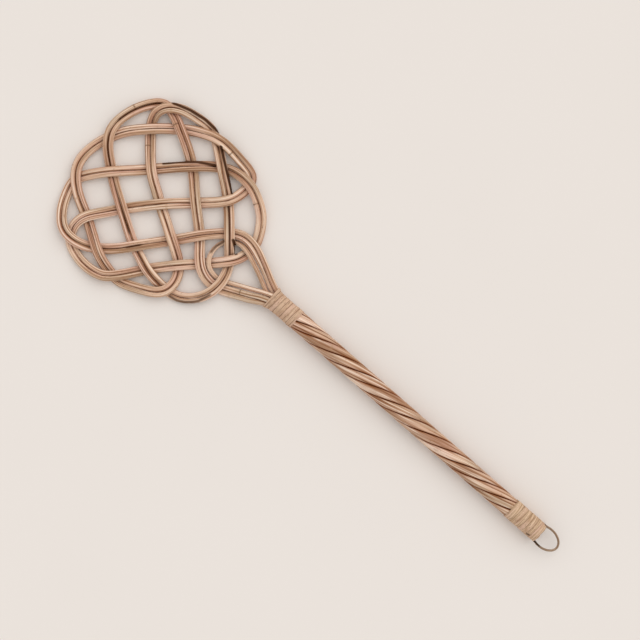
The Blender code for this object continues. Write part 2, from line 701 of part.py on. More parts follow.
def loop_course():
    """Give the whole hanging loop, from the end of one leg to the end of the other."""
    half = loop_half()
    mirrored = half[::-1][1:].copy()
    mirrored[:, 0] *= -1
    mirrored[:, 2] = 2 * AXIS_HEIGHT - mirrored[:, 2]
    return np.concatenate((half, mirrored))


def stand_on_origin(pieces):
    """Move all pieces so that the origin is under the middle of the whole."""
    depsgraph = bpy.context.evaluated_depsgraph_get()
    places = []
    for piece in pieces:
        mesh = piece.evaluated_get(depsgraph).to_mesh()
        places.extend(vertex.co.copy() for vertex in mesh.vertices)
    places = np.array(places)
    low, high = places.min(axis=0), places.max(axis=0)
    middle = (low + high) / 2
    shift = np.array((-middle[0], -middle[1], -low[2]))
    for piece in pieces:
        piece.location = shift
    print("size, mm:", np.round((high - low) * MM_PER_M, 1))
    print("moved by, mm:", np.round(shift * MM_PER_M, 3))


def main():
    """Build the carpet beater."""
    for old in list(bpy.data.objects):
        bpy.data.objects.remove(old, do_unlink=True)
    canes = settled_canes()
    loop = loop_course()
    bundle = runs_through(canes)
    bundle_and_loop = runs_through({**canes, "hanging_loop": loop})
    pieces = [
        add_tube("weave_cane_outer", canes["weave_cane_outer"], CANE_RADIUS,
                 CANE_COLOUR, CANE_ROUGHNESS),
        add_tube("weave_cane_inner", canes["weave_cane_inner"], CANE_RADIUS,
                 CANE_COLOUR, CANE_ROUGHNESS),
        add_tube("eye_cane", canes["eye_cane"], EYE_CANE_RADIUS, EYE_COLOUR, CANE_ROUGHNESS),
        add_core(),
        add_binding("neck_binding", bundle, 0.0, NECK_TURNS, NECK_STRIP_WIDTH,
                    NECK_STRIP_COLOUR),
        add_binding("end_binding", bundle_and_loop, BUTT, END_TURNS, END_STRIP_WIDTH,
                    END_STRIP_COLOUR),
        add_tube("hanging_loop", loop, LOOP_RADIUS, LOOP_COLOUR, STRIP_ROUGHNESS),
    ]
    stand_on_origin(pieces)


main()
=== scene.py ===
"""Looks of the rattan carpet beater: canes, bindings, hanging loop and the stage for its picture."""

import math
from typing import NamedTuple
import bpy
import numpy as np
from bpy.props import FloatProperty, FloatVectorProperty, IntProperty, PointerProperty
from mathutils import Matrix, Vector
from mathutils.kdtree import KDTree


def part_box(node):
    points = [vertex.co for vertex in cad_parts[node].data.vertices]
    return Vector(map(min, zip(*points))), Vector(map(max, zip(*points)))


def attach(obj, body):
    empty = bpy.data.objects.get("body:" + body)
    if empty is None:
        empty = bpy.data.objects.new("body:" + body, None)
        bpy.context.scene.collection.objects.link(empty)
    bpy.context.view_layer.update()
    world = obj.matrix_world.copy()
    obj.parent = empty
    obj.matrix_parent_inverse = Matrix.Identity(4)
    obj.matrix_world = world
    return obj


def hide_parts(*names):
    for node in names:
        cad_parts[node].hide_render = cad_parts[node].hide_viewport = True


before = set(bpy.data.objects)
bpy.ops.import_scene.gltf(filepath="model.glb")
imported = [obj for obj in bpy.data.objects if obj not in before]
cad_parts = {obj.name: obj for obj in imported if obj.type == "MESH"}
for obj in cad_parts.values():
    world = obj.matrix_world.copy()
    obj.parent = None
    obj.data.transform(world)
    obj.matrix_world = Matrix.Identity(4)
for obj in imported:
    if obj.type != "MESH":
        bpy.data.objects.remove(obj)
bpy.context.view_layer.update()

bl_info = {
    "name": "Rattan carpet beater",
    "version": (1, 0, 0),
    "blender": (4, 5, 0),
    "location": "View3D > Sidebar > Carpet beater",
    "description": "Makes the canes, bindings and loop of a woven carpet beater",
    "category": "Object",
}

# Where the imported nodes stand, in metres
CORE_LOW, CORE_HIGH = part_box("handle_core")
NECK_LOW, NECK_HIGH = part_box("neck_binding")
END_LOW, END_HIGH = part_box("end_binding")
AXIS_X = (CORE_LOW.x + CORE_HIGH.x) / 2
AXIS_Z = (CORE_LOW.z + CORE_HIGH.z) / 2
CORE_RADIUS = (CORE_HIGH.x - CORE_LOW.x) / 2

# The photograph: pixels of its 640 by 640 frame, y downward
PHOTO_SIDE = 640
PHOTO_MIDDLE = (320.0, 320.0)
PHOTO_NECK = (271.0, 297.0)
PHOTO_TURN = math.radians(48.7)
METRES_PER_PIXEL = 0.001206
PHOTO_RIGHT = np.array((math.cos(PHOTO_TURN), -math.sin(PHOTO_TURN)))
PHOTO_UP = np.array((math.sin(PHOTO_TURN), math.cos(PHOTO_TURN)))
PHOTO_SCARS = (
    (134, 108),
    (148, 146),
    (176, 124),
    (232, 153),
    (257, 203),
    (240, 293),
    (82, 175),
)
PHOTO_TOP_ARC_STAIN = ((173, 103), (190, 110), (205, 119), (218, 131))
PHOTO_SECOND_ROW_STAIN = ((163, 163), (180, 162), (198, 162), (215, 165))
PHOTO_FIFTH_COLUMN_STAIN = ((221, 147), (226, 168), (232, 193))
PHOTO_EYE_SIDE_STAIN = ((233, 240), (235, 247), (236, 254))
PHOTO_EYE_CANE_STAIN = ((211, 252), (216, 246), (224, 241))
PHOTO_LOWER_LOBE_STAIN = (
    (169, 296),
    (176, 300),
    (184, 302),
    (192, 302),
    (198, 301),
    (204, 298),
    (210, 295),
)
# Painted shadows where the hanging loop's legs meet the end binding
PHOTO_LOOP_LEG_SHADOW = ((530, 537), (535, 541), (539, 545))
PHOTO_UPPER_LEG_SHADOW = ((545, 524), (547, 526))
PHOTO_LOWER_LEG_SHADOW = ((526, 533), (528, 534))
PHOTO_CANE_STAINS = (
    PHOTO_TOP_ARC_STAIN,
    PHOTO_SECOND_ROW_STAIN,
    PHOTO_FIFTH_COLUMN_STAIN,
    PHOTO_EYE_SIDE_STAIN,
)
PHOTO_FAINT_STAINS = (PHOTO_EYE_CANE_STAIN, PHOTO_LOWER_LOBE_STAIN)
PHOTO_BINDING_SHADOWS = (PHOTO_UPPER_LEG_SHADOW, PHOTO_LOWER_LEG_SHADOW)
# Dark lines between canes, painted as deep shade with some dirt
PHOTO_FIRST_COLUMN_GAP = ((107, 176), (113, 192), (121, 211), (129, 231))
PHOTO_TOP_LOBE_GAP = ((109, 118), (107, 132), (107, 148), (108, 166))
PHOTO_TOP_ARC_GAP = ((120, 119), (136, 109), (150, 104), (163, 101))
PHOTO_SECOND_COLUMN_GAP = ((136, 256), (143, 268), (150, 279), (157, 286))
PHOTO_FIFTH_COLUMN_GAP = ((229, 207), (230, 222), (231, 240), (231, 254))
PHOTO_FOURTH_ROW_GAP = ((128, 248), (139, 246))
PHOTO_DARK_GAPS = (
    PHOTO_FIRST_COLUMN_GAP,
    PHOTO_TOP_LOBE_GAP,
    PHOTO_TOP_ARC_GAP,
    PHOTO_SECOND_COLUMN_GAP,
    PHOTO_FIFTH_COLUMN_GAP,
    PHOTO_FOURTH_ROW_GAP,
)
# How far the marks reach: stains, painted leg shadows and painted gap shade
STAIN_AND_SHADOW_WIDTH = 0.0032
FAINT_STAIN_WIDTH = 0.0042
FAINT_STAIN_SHARE = 0.55
LEG_SHADOW_WIDTH = 0.0024
DARK_GAP_WIDTH = 0.0055

# Widths of the end binding's turns in the photograph, from its outer edge to the handle side
PHOTO_END_TURNS = (7.0, 4.0, 5.0, 4.5, 5.0, 5.5, 9.0)

# How the meshes are drawn
CANE_SIDES = 30
LOOP_SIDES = 16
LOOP_SPACING = 0.0008
CORNER_POWER = 4.5
SIDE_LEAN = math.radians(26)
FACING_AWAY = 0.001
LINE_REACH_SHARES = (0.5, 0.8)
GROOVE_REACH = 0.0052
SEAM_SPREAD = 2.5
WELD_DECIMALS = 7
PARTNER_STRIDE = 6
PULL_RISE = 0.025
PULL_SMOOTHING = 9
NEAR_REACH = 0.0125
NEAR_ALONG = 0.0040
OWN_STRETCH = 0.022
GAP_REACH = 0.0060
SCAR_REACH = 0.0120
SWELL_REACH = 0.0030
TURN_STEPS = 60
TURN_END_SHARE = 0.1
WRAP_DIRECTIONS = 120
WRAP_STEPS = 24
WRAP_SLICE = 0.0026
WRAP_LIFT = 0.0001
STRIP_CROSS_POINTS = 9
EDGE_SWAY = 0.00018
STRIP_START_ANGLE = math.radians(-52.5)
NECK_STRIP_SEED = 0.0
END_STRIP_SEED = 2.0
SWAY_A_TURN = 0.05
CROWN_DROP = 0.4
CROWN_POWER = 4
LEAST_COSINE = 0.02
LEAST_SINE = 0.001
SLIVER = 0.000001
FIRST_NODE_SHARE = 0.3
NODE_SHIFT_SHARE = 0.17
NODE_CLEARANCE_SHARE = 1 / 3
LOOP_UNEVENNESS = 0.05
LOOP_WAVE_SHORTENING = 3
LOOP_SEED = 5.0

# Waves of the unevenness: length in metres and strength
WAVES = ((0.37, 1.0), (0.143, 0.8), (0.061, 0.5), (0.027, 0.25))
WAVE_SHIFT = 1.7

# The stage
FLOOR_HALF = 25.0
CAMERA_HEIGHT = 2.0
SENSOR_WIDTH = 36.0
WORLD_STRENGTH = 0.78
LAMP_SHARE = 0.22
LAMP_TILT = math.radians(38)
LAMP_ANGLE = math.radians(60)
LAMP_FROM_PHOTO = (0.7, 0.7)
WHITE = (1.0, 1.0, 1.0, 1.0)

# How a screen's colour values turn into linear ones
SCREEN_FULL = 255
SCREEN_KNEE = 0.04045
SCREEN_SLOPE = 12.92
SCREEN_OFFSET = 0.055
SCREEN_POWER = 2.4


def tint(red, green, blue):
    """A colour picked on a screen, from 0 to 255, as the linear values that shaders use."""
    shares = np.array((red, green, blue)) / SCREEN_FULL
    curved = ((shares + SCREEN_OFFSET) / (1 + SCREEN_OFFSET)) ** SCREEN_POWER
    linear = np.where(shares <= SCREEN_KNEE, shares / SCREEN_SLOPE, curved)
    return tuple(float(value) for value in linear)


class Cloud(NamedTuple):
    """Soft noise: how often it changes in a metre along three axes, its detail and its roughness."""

    stretch: tuple
    detail: float
    roughness: float


class Band(NamedTuple):
    """The value at which a layer starts to show, the one at which it is full, and its strength then."""

    start: float
    full: float
    share: float


class Relief(NamedTuple):
    """The height of a finish's bumps in metres, and how strongly they show."""

    height: float
    strength: float


# Gloss of all finishes, and the middle value of any noise
SHINE = 0.07
NOISE_MIDDLE = 0.5

# Rattan skin: colours of its layers
CANE_RUST = tint(158, 108, 70)
CANE_DARK = tint(100, 54, 24)
CANE_PALE = tint(248, 224, 202)
CANE_PATCH = tint(146, 102, 72)
CANE_GRIME = tint(140, 97, 76)
# Painted shade, with some dirt, in the grooves between canes: its halo and its deepest lines
CANE_GROOVE_SHADE_HALO = tint(142, 84, 44)
CANE_GROOVE_SHADE_DEEP = tint(92, 46, 12)
CANE_NODE = tint(176, 138, 104)
CANE_SCAR = tint(78, 48, 28)
SPECK = tint(84, 52, 32)

# Rattan skin: its noises
CANE_STREAKS = Cloud(stretch=(8, 560, 560), detail=4.0, roughness=0.6)
CANE_THREADS = Cloud(stretch=(30, 1500, 1500), detail=3.0, roughness=0.6)
CANE_TONES = Cloud(stretch=(11, 60, 60), detail=2.0, roughness=0.5)
CANE_PATCHES = Cloud(stretch=(75, 230, 230), detail=4.0, roughness=0.6)
CANE_SPECKS = Cloud(stretch=(300, 700, 700), detail=2.0, roughness=0.6)
CANE_FILTH = Cloud(stretch=(26, 60, 60), detail=3.0, roughness=0.6)
CANE_DUSK = Cloud(stretch=(9, 60, 60), detail=1.0, roughness=0.5)

# Rattan skin: where each layer shows
PINK_BAND = Band(start=0.48, full=0.64, share=1.0)
OLIVE_BAND = Band(start=0.50, full=0.36, share=1.0)
DUSK_BAND = Band(start=0.42, full=0.62, share=0.42)
RUST_STREAK_BAND = Band(start=0.54, full=0.42, share=0.62)
RUST_THREAD_BAND = Band(start=0.50, full=0.35, share=0.3)
DARK_BAND = Band(start=0.46, full=0.34, share=0.54)
PALE_BAND = Band(start=0.53, full=0.64, share=0.75)
PATCH_BAND = Band(start=0.56, full=0.76, share=0.45)
SPECK_BAND = Band(start=0.66, full=0.74, share=0.6)
NODE_BAND = Band(start=0.22, full=0.0, share=0.4)
SCAR_BAND = Band(start=0.08, full=0.02, share=0.6)
FILTH_BAND = Band(start=0.42, full=0.60, share=1.0)
# Painted shade, with some dirt, near the next cane: halo, groove, groove bed and the dark lines
HALO_BAND = Band(start=0.46, full=0.10, share=0.06)
GROOVE_SHADE_AND_DIRT_BAND = Band(start=0.26, full=0.03, share=0.16)
GROOVE_BED_BAND = Band(start=0.18, full=0.02, share=0.7)
DARK_GAP_BAND = Band(start=0.62, full=0.14, share=0.98)
SOOT_BAND = Band(start=0.2, full=0.8, share=1.0)

# Rattan skin: what its layers gain from noise, in filthy stretches and in the handle
GRIME_SHARE = 0.1
DARK_IN_HANDLE = 0.16
# The painted groove shade and its dirt grow in filthy stretches and in the handle
HALO_IN_FILTH = 0.42
HALO_IN_HANDLE = 0.5
SHADE_AND_DIRT_IN_FILTH = 0.8
SHADE_AND_DIRT_IN_HANDLE = 0.64
SCAR_RAGGEDNESS = 0.2
GROOVE_RAGGEDNESS = 0.12
SOOT_BASE = 0.2
SOOT_IN_PATCHES = 0.8
SOOT_IN_STREAKS = 1.1
SOOT_COVER = 0.46

# Rattan skin: roughness and relief
CANE_ROUGHNESS = 0.36
ROUGH_STREAKS = 0.18
ROUGH_DIRT = 0.3
ROUGH_SOOT = 0.15
HIGH_STREAKS = 0.7
HIGH_THREADS = 0.3
HIGH_PATCHES = 0.6
CANE_RELIEF = Relief(height=0.0003, strength=0.7)

# Cut ends of the canes
STRAW_DARK = tint(160, 122, 82)
CUT_CLOUD = Cloud(stretch=(500, 500, 500), detail=3.0, roughness=0.5)
PORES_A_METRE = 2200.0
PORE_BAND = Band(start=0.34, full=0.16, share=0.8)
CUT_ROUGHNESS = 0.8
CUT_RELIEF = Relief(height=0.0003, strength=0.7)

# Flat binding cane: colours, noises and where each layer shows
STRIP_PALE = tint(234, 206, 178)
STRIP_PATCH = tint(166, 126, 96)
STRIP_PINK = tint(212, 174, 152)
# Painted shade, with some dirt, in the seams between turns
STRIP_SEAM_SHADE_AND_DIRT = tint(120, 84, 58)
NECK_DULL = tint(182, 146, 118)
END_DULL = tint(158, 124, 88)
# How strongly each binding's seams take the painted shade and dirt
NECK_SEAM_SHADE_AND_DIRT = 0.85
END_SEAM_SHADE_AND_DIRT = 0.35
STRIP_FIBRES = Cloud(stretch=(16, 850, 300), detail=5.0, roughness=0.65)
STRIP_THREADS = Cloud(stretch=(60, 4200, 300), detail=2.0, roughness=0.5)
STRIP_PATCHES = Cloud(stretch=(60, 150, 100), detail=4.0, roughness=0.6)
STRIP_SPECKS = Cloud(stretch=(200, 1100, 300), detail=2.0, roughness=0.5)
STRIP_FILTH = Cloud(stretch=(30, 200, 100), detail=3.0, roughness=0.6)
STRIP_TONES = Cloud(stretch=(14, 90, 60), detail=2.0, roughness=0.5)
STRIP_FIBRE_BAND = Band(start=0.35, full=0.62, share=1.0)
STRIP_PINK_BAND = Band(start=0.46, full=0.64, share=0.7)
STRIP_PALE_BAND = Band(start=0.52, full=0.68, share=0.6)
STRIP_PATCH_BAND = Band(start=0.50, full=0.68, share=0.55)
STRIP_SPECK_BAND = Band(start=0.62, full=0.70, share=0.6)
STRIP_EDGE_BAND = Band(start=0.26, full=0.0, share=1.0)
STRIP_FILTH_BAND = Band(start=0.40, full=0.60, share=1.0)
# Painted shadow where the loop's legs meet the end binding
STRIP_SHADOW_BAND = Band(start=0.25, full=0.9, share=1.0)
STRIP_EDGE_RAGGEDNESS = 0.2
# How the painted leg shadow spreads
STRIP_SHADOW_BASE = 0.1
STRIP_SHADOW_IN_PATCHES = 0.9
STRIP_SHADOW_COVER = 0.4
STRIP_SHADOW_IN_FIBRES = 0.7
STRIP_ROUGHNESS = 0.44
STRIP_ROUGH_FIBRES = 0.2
STRIP_ROUGH_DIRT = 0.2
STRIP_HIGH_FIBRES = 0.6
STRIP_HIGH_THREADS = 0.4
STRIP_RELIEF = Relief(height=0.0002, strength=0.7)

# Hanging loop
LOOP_DULL = tint(112, 88, 70)
LOOP_PALE = tint(196, 170, 144)
# Painted shadow on the loop's leg by the end binding
LOOP_LEG_SHADOW = tint(56, 38, 26)
LOOP_STREAKS = Cloud(stretch=(30, 1800, 1800), detail=4.0, roughness=0.6)
LOOP_PATCHES = Cloud(stretch=(120, 500, 500), detail=4.0, roughness=0.6)
LOOP_STREAK_BAND = Band(start=0.3, full=0.7, share=1.0)
LOOP_PALE_BAND = Band(start=0.52, full=0.70, share=0.5)
# Where the painted leg shadow shows
LOOP_SHADOW_BAND = Band(start=0.05, full=0.8, share=1.0)
LOOP_SHADOW_BASE = 0.4
LOOP_ROUGHNESS = 0.42
LOOP_ROUGH_STREAKS = 0.25
LOOP_RELIEF = Relief(height=0.0002, strength=0.6)

# Stick inside the handle
CORE_DARK = tint(84, 56, 34)
CORE_PORE = tint(48, 30, 18)
CORE_FIBRES = Cloud(stretch=(1500, 30, 1500), detail=4.0, roughness=0.6)
CORE_PORES = Cloud(stretch=(2600, 120, 2600), detail=2.0, roughness=0.5)
CORE_FIBRE_BAND = Band(start=0.3, full=0.7, share=1.0)
CORE_PORE_BAND = Band(start=0.6, full=0.7, share=0.6)
CORE_ROUGHNESS = 0.75
CORE_ROUGH_FIBRES = 0.15
CORE_RELIEF = Relief(height=0.0003, strength=0.8)

# Floor
FLOOR_DULL = tint(226, 218, 210)
FLOOR_CLOUD = Cloud(stretch=(6, 6, 6), detail=2.0, roughness=0.5)
FLOOR_DULL_SHARE = 0.2
FLOOR_ROUGHNESS = 0.9


def length(name, default, description):
    """A property that holds a length in metres."""
    return FloatProperty(
        name=name, default=default, min=0, unit="LENGTH", precision=5, description=description
    )


def colour(name, default, description):
    """A property that holds a colour."""
    return FloatVectorProperty(
        name=name, default=default, subtype="COLOR", size=3, min=0, max=1, description=description
    )


class BeaterSizes(bpy.types.PropertyGroup):
    """Sizes of the canes, the bindings and the loop."""

    cane_radius: length("Weaving cane radius", 0.00322, "Half the thickness of both weaving canes")
    pair_gap: length("Pair gap", 0.0001, "Space between the two canes of a pair in the head")
    eye_radius: length("Eye cane radius", 0.00285, "Half the thickness of the single eye cane")
    handle_radius: length("Handle radius", 0.01215, "Half the thickness of the twisted handle")
    strand_reach: length(
        "Strand reach", 0.0039, "Half the space that a cane has between two others in the handle"
    )
    ring_spacing: length("Ring spacing", 0.0022, "Distance between two rings of a cane's mesh")
    unevenness: length("Unevenness", 0.00010, "How far a cane's radius swells and shrinks")
    node_swell: length("Node swell", 0.00020, "How far a cane swells at a leaf node")
    node_spacing: length("Node spacing", 0.43, "Usual distance between two leaf nodes")
    strip_thickness: length("Strip thickness", 0.0007, "Thickness of the flat binding cane")
    strip_gap: length("Strip gap", 0.00012, "Space between two turns of a binding")
    neck_turns: IntProperty(name="Neck turns", default=8, min=3, description="Turns of the neck binding")
    loop_radius: length("Loop radius", 0.0014, "Half the thickness of the hanging loop")


class BeaterColours(bpy.types.PropertyGroup):
    """Colours of the finishes."""

    cane_tan: colour("Cane tan", tint(221, 185, 157), "Main colour of the canes")
    cane_pink: colour("Cane pink", tint(217, 174, 152), "Warm stretches of the canes")
    cane_olive: colour("Cane olive", tint(202, 175, 148), "Grey and olive stretches of the canes")
    # Painted shade, with some dirt, in the grooves between canes; the pores of cut ends take this colour
    # too
    groove_shade_and_dirt: colour("Groove", tint(118, 56, 16), "Dirt in the grooves")
    # Real stains on the canes, and painted shadow on the loop and the end binding
    stain_and_shadow: colour("Stain", tint(64, 34, 13), "Dark stains")
    pith: colour("Cut end", tint(196, 168, 128), "Cut ends of the canes")
    neck_strip: colour("Neck strip", tint(212, 178, 150), "Flat cane round the neck")
    end_strip: colour("End strip", tint(220, 188, 157), "Flat cane round the handle's end")
    loop: colour("Loop", tint(164, 136, 110), "Thin cane of the hanging loop")
    core: colour("Core", tint(120, 84, 54), "Stick inside the handle")
    floor: colour("Floor", tint(235, 227, 220), "Pale floor")


def sizes():
    """The sizes that the panel shows."""
    return bpy.context.scene.beater_sizes


def colours():
    """The colours that the panel shows."""
    return bpy.context.scene.beater_colours


def photo_direction(right, up):
    """A direction in the picture, as one on the floor."""
    return right * PHOTO_RIGHT + up * PHOTO_UP


def photo_place(pixel):
    """Where a pixel of the photograph lies on the floor, in metres."""
    away = photo_direction(pixel[0] - PHOTO_NECK[0], PHOTO_NECK[1] - pixel[1])
    return np.array((AXIS_X, NECK_HIGH.y)) + METRES_PER_PIXEL * away


def smooth_step(value):
    """0 below 0, 1 above 1 and a soft rise between them."""
    share = np.clip(value, 0, 1)
    return share * share * (3 - 2 * share)


def unit(vectors):
    """The same directions, each one unit long."""
    return vectors / np.linalg.norm(vectors, axis=-1, keepdims=True)


def welded(node):
    """A node's corner points without doubles, and for each point the points that share an edge."""
    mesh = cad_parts[node].data
    places = np.array([vertex.co for vertex in mesh.vertices])
    points, index = np.unique(np.round(places, WELD_DECIMALS), axis=0, return_inverse=True)
    index = index.ravel()
    neighbours = [set() for _ in points]
    for edge in mesh.edges:
        first, second = (int(index[corner]) for corner in edge.vertices)
        neighbours[first].add(second)
        neighbours[second].add(first)
    return points, neighbours


def middle_line(node, radius, ends_low):
    """The middle line of a CAD tube whose two ends both face down or up along Y, one point a ring."""
    points, neighbours = welded(node)
    end_y = points[:, 1].min() if ends_low else points[:, 1].max()
    at_ends = np.flatnonzero(np.abs(points[:, 1] - end_y) < radius)
    first = points[at_ends[0]]
    away = np.linalg.norm(points[at_ends] - first, axis=1)
    ring = {int(corner) for corner in at_ends[away < SEAM_SPREAD * radius]}
    seen = set(ring)
    line = []
    while ring:
        line.append(points[sorted(ring)].mean(0))
        ring = set().union(*(neighbours[corner] for corner in ring)) - seen
        seen |= ring
    return np.array(line)


def smooth_line(points, spacing):
    """A smooth curve through the points, as new points a set distance apart."""
    steps = np.linalg.norm(np.diff(points, axis=0), axis=1)
    places = np.concatenate(([0.0], np.cumsum(steps)))
    slopes = np.gradient(points, places, axis=0)
    wanted = np.linspace(0, places[-1], round(places[-1] / spacing) + 1)
    index = np.clip(np.searchsorted(places, wanted, side="right") - 1, 0, len(steps) - 1)
    span = steps[index][:, None]
    share = ((wanted - places[index]) / steps[index])[:, None]
    square = share**2
    cube = share**3
    return (
        points[index] * (2 * cube - 3 * square + 1)
        + slopes[index] * span * (cube - 2 * square + share)
        + points[index + 1] * (3 * square - 2 * cube)
        + slopes[index + 1] * span * (cube - square)
    )


def line_lengths(line):
    """How far along the line each of its points lies."""
    return np.concatenate(([0.0], np.cumsum(np.linalg.norm(np.diff(line, axis=0), axis=1))))


def drawn_together(line, partner):
    """A weaving cane's line moved toward its partner's until both canes touch, except at the neck."""
    beside = 0
    toward = np.empty_like(line)
    for ring, place in enumerate(line):
        nearby = partner[beside : beside + PARTNER_STRIDE]
        beside += int(np.linalg.norm(nearby - place, axis=1).argmin())
        toward[ring] = partner[beside] - place
    tangents = unit(np.gradient(line, axis=0))
    toward -= tangents * (toward * tangents).sum(1)[:, None]
    wanted = 2 * sizes().cane_radius + sizes().pair_gap
    pull = np.clip(np.linalg.norm(toward, axis=1) - wanted, 0, None) / 2
    pull *= smooth_step((line[:, 1] - NECK_HIGH.y) / PULL_RISE)
    even = np.ones(PULL_SMOOTHING) / PULL_SMOOTHING
    return line + unit(toward) * np.convolve(pull, even, "same")[:, None]


def frames_along(line):
    """Tangents, and two sideways directions that turn as little as they can along the line."""
    tangents = unit(np.gradient(line, axis=0))
    side = np.cross(tangents[0], (0.0, 0.0, 1.0))
    sides = np.empty_like(line)
    for index, tangent in enumerate(tangents):
        side = unit(side - tangent * (side @ tangent))
        sides[index] = side
    return tangents, sides, np.cross(tangents, sides)


def wander(lengths, seed):
    """A slow, even wavering between about -1 and 1 along a line."""
    total = np.zeros_like(lengths)
    for index, (wave, strength) in enumerate(WAVES):
        total += strength * np.sin(2 * math.pi * lengths / wave + seed * (index + WAVE_SHIFT))
    return total / sum(strength for _, strength in WAVES)


class CaneCourse:
    """One cane's middle line, with what its mesh needs along it."""

    def __init__(self, node, radius, seed, line):
        self.node = node
        self.radius = radius
        self.seed = seed
        self.line = line
        self.lengths = line_lengths(line)
        self.tangents, self.sides, self.ups = frames_along(line)
        self.in_handle = 1 - smooth_step((line[:, 1] - NECK_LOW.y) / (NECK_HIGH.y - NECK_LOW.y))
        self.breadth = radius + (GROOVE_REACH - radius) * self.in_handle
        self.scars = self.photo_scars()
        self.nodes = self.scars + self.plain_nodes()

    def photo_scars(self):
        """Rings at which the photograph shows a dark scar on this cane."""
        found = []
        for pixel in PHOTO_SCARS:
            away = np.linalg.norm(self.line[:, :2] - photo_place(pixel), axis=1)
            ring = int(away.argmin())
            if away[ring] < self.radius:
                found.append(ring)
        return found

    def plain_nodes(self):
        """Rings of the other leaf nodes, at even distances away from the scars."""
        spacing = sizes().node_spacing
        first = spacing * (FIRST_NODE_SHARE + NODE_SHIFT_SHARE * self.seed)
        clearance = spacing * NODE_CLEARANCE_SHARE
        found = []
        for place in np.arange(first, self.lengths[-1], spacing):
            ring = int(np.abs(self.lengths - place).argmin())
            if all(abs(self.lengths[ring] - self.lengths[scar]) > clearance for scar in self.scars):
                found.append(ring)
        return found

    def distance_to(self, rings):
        """How far each ring is from the nearest of some rings."""
        if not rings:
            return np.full(len(self.lengths), self.lengths[-1])
        return np.abs(self.lengths[:, None] - self.lengths[rings][None]).min(1)


COURSES = {}


def cane_courses():
    """The courses of the three canes, worked out once."""
    if not COURSES:
        size = sizes()
        radii = {
            "weave_cane_outer": size.cane_radius,
            "weave_cane_inner": size.cane_radius,
            "eye_cane": size.eye_radius,
        }
        lines = {
            node: smooth_line(middle_line(node, radius, True), size.ring_spacing)
            for node, radius in radii.items()
        }
        outer, inner = lines["weave_cane_outer"], lines["weave_cane_inner"]
        if np.linalg.norm(inner[-1] - outer[0]) < np.linalg.norm(inner[0] - outer[0]):
            inner = inner[::-1]
        lines["weave_cane_outer"] = drawn_together(outer, inner)
        lines["weave_cane_inner"] = drawn_together(inner, outer)
        for seed, (node, line) in enumerate(lines.items()):
            COURSES[node] = CaneCourse(node, radii[node], seed + 1, line)
    return list(COURSES.values())


def squeezed(facing, away):
    """How far a cane's skin lies from its line in the handle, between the core, two canes and the hand."""
    size = sizes()
    edge = np.sqrt(np.clip(1 - facing**2, 0, 1))
    nearest, furthest = LINE_REACH_SHARES
    away = np.clip(away, nearest * size.handle_radius, furthest * size.handle_radius)
    to_hand = np.sqrt(size.handle_radius**2 - (away * edge) ** 2) - away * facing
    sideways = edge * math.cos(SIDE_LEAN) - facing * math.sin(SIDE_LEAN)
    to_neighbour = size.strand_reach / np.maximum(sideways, FACING_AWAY)
    to_core = (away - CORE_RADIUS) / np.maximum(-facing, FACING_AWAY)
    walls = (to_hand, to_neighbour, to_core)
    return sum(wall**-CORNER_POWER for wall in walls) ** (-1 / CORNER_POWER)


def cane_rings(course):
    """The rings of a cane's skin, and the grain place of each of their points."""
    size = sizes()
    angles = np.linspace(0, 2 * math.pi, CANE_SIDES, endpoint=False)
    cosines = np.cos(angles)[None, :, None]
    sines = np.sin(angles)[None, :, None]
    directions = course.sides[:, None] * cosines + course.ups[:, None] * sines
    outward = course.line - np.array((AXIS_X, 0, AXIS_Z))
    outward[:, 1] = 0
    away = np.linalg.norm(outward, axis=1)[:, None]
    outward -= course.tangents * (outward * course.tangents).sum(1)[:, None]
    facing = (directions * unit(outward)[:, None]).sum(2)
    in_handle = course.in_handle[:, None]
    radii = course.radius + (squeezed(facing, away) - course.radius) * in_handle
    swell = size.node_swell * np.exp(-((course.distance_to(course.nodes) / SWELL_REACH) ** 2))
    uneven = size.unevenness * wander(course.lengths, course.seed) + swell
    radii += uneven[:, None] * (1 - in_handle)
    rings = course.line[:, None] + directions * radii[..., None]
    rings[..., 2] = np.maximum(rings[..., 2], 0)
    grain = np.empty_like(rings)
    grain[..., 0] = course.lengths[:, None] + course.seed
    grain[..., 1] = course.radius * np.cos(angles)
    grain[..., 2] = course.radius * np.sin(angles)
    return rings, grain


def neighbour_gaps(course, rings):
    """How far each point of a cane's skin lies from the next cane, as a share of the reach."""
    courses = cane_courses()
    tree = KDTree(sum(len(other.line) for other in courses))
    owners = []
    for other in courses:
        for ring, place in enumerate(other.line):
            tree.insert(place, len(owners))
            owners.append((other, ring))
    tree.balance()
    gaps = np.full(rings.shape[:2], GAP_REACH)
    for ring, place in enumerate(course.line):
        near = []
        for _, index, _ in tree.find_range(place, NEAR_REACH):
            other, other_ring = owners[index]
            own = other is course
            if own and abs(course.lengths[ring] - course.lengths[other_ring]) < OWN_STRETCH:
                continue
            near.append((other.line[other_ring], other.tangents[other_ring], other.breadth[other_ring]))
        if not near:
            continue
        places, tangents, radii = (np.array(part) for part in zip(*near))
        offsets = rings[ring][:, None] - places[None]
        along = (offsets * tangents).sum(2)
        away = np.linalg.norm(offsets - along[..., None] * tangents, axis=2) - radii
        away[np.abs(along) > NEAR_ALONG] = GAP_REACH
        gaps[ring] = np.clip(away.min(1), 0, GAP_REACH)
    return gaps / GAP_REACH


def photo_mask(rings, marks, width):
    """How near each point lies to marks on the photograph: 1 on them, 0 at their width and beyond."""
    flat = rings[..., :2].reshape(-1, 2)
    nearest = np.full(len(flat), np.inf)
    for mark in marks:
        places = [photo_place(pixel) for pixel in mark]
        for start, end in zip(places, places[1:]):
            leg = end - start
            share = np.clip((flat - start) @ leg / (leg @ leg), 0, 1)
            away = np.linalg.norm(flat - start - share[:, None] * leg, axis=1)
            nearest = np.minimum(nearest, away)
    return smooth_step(1 - nearest / width).reshape(rings.shape[:2])


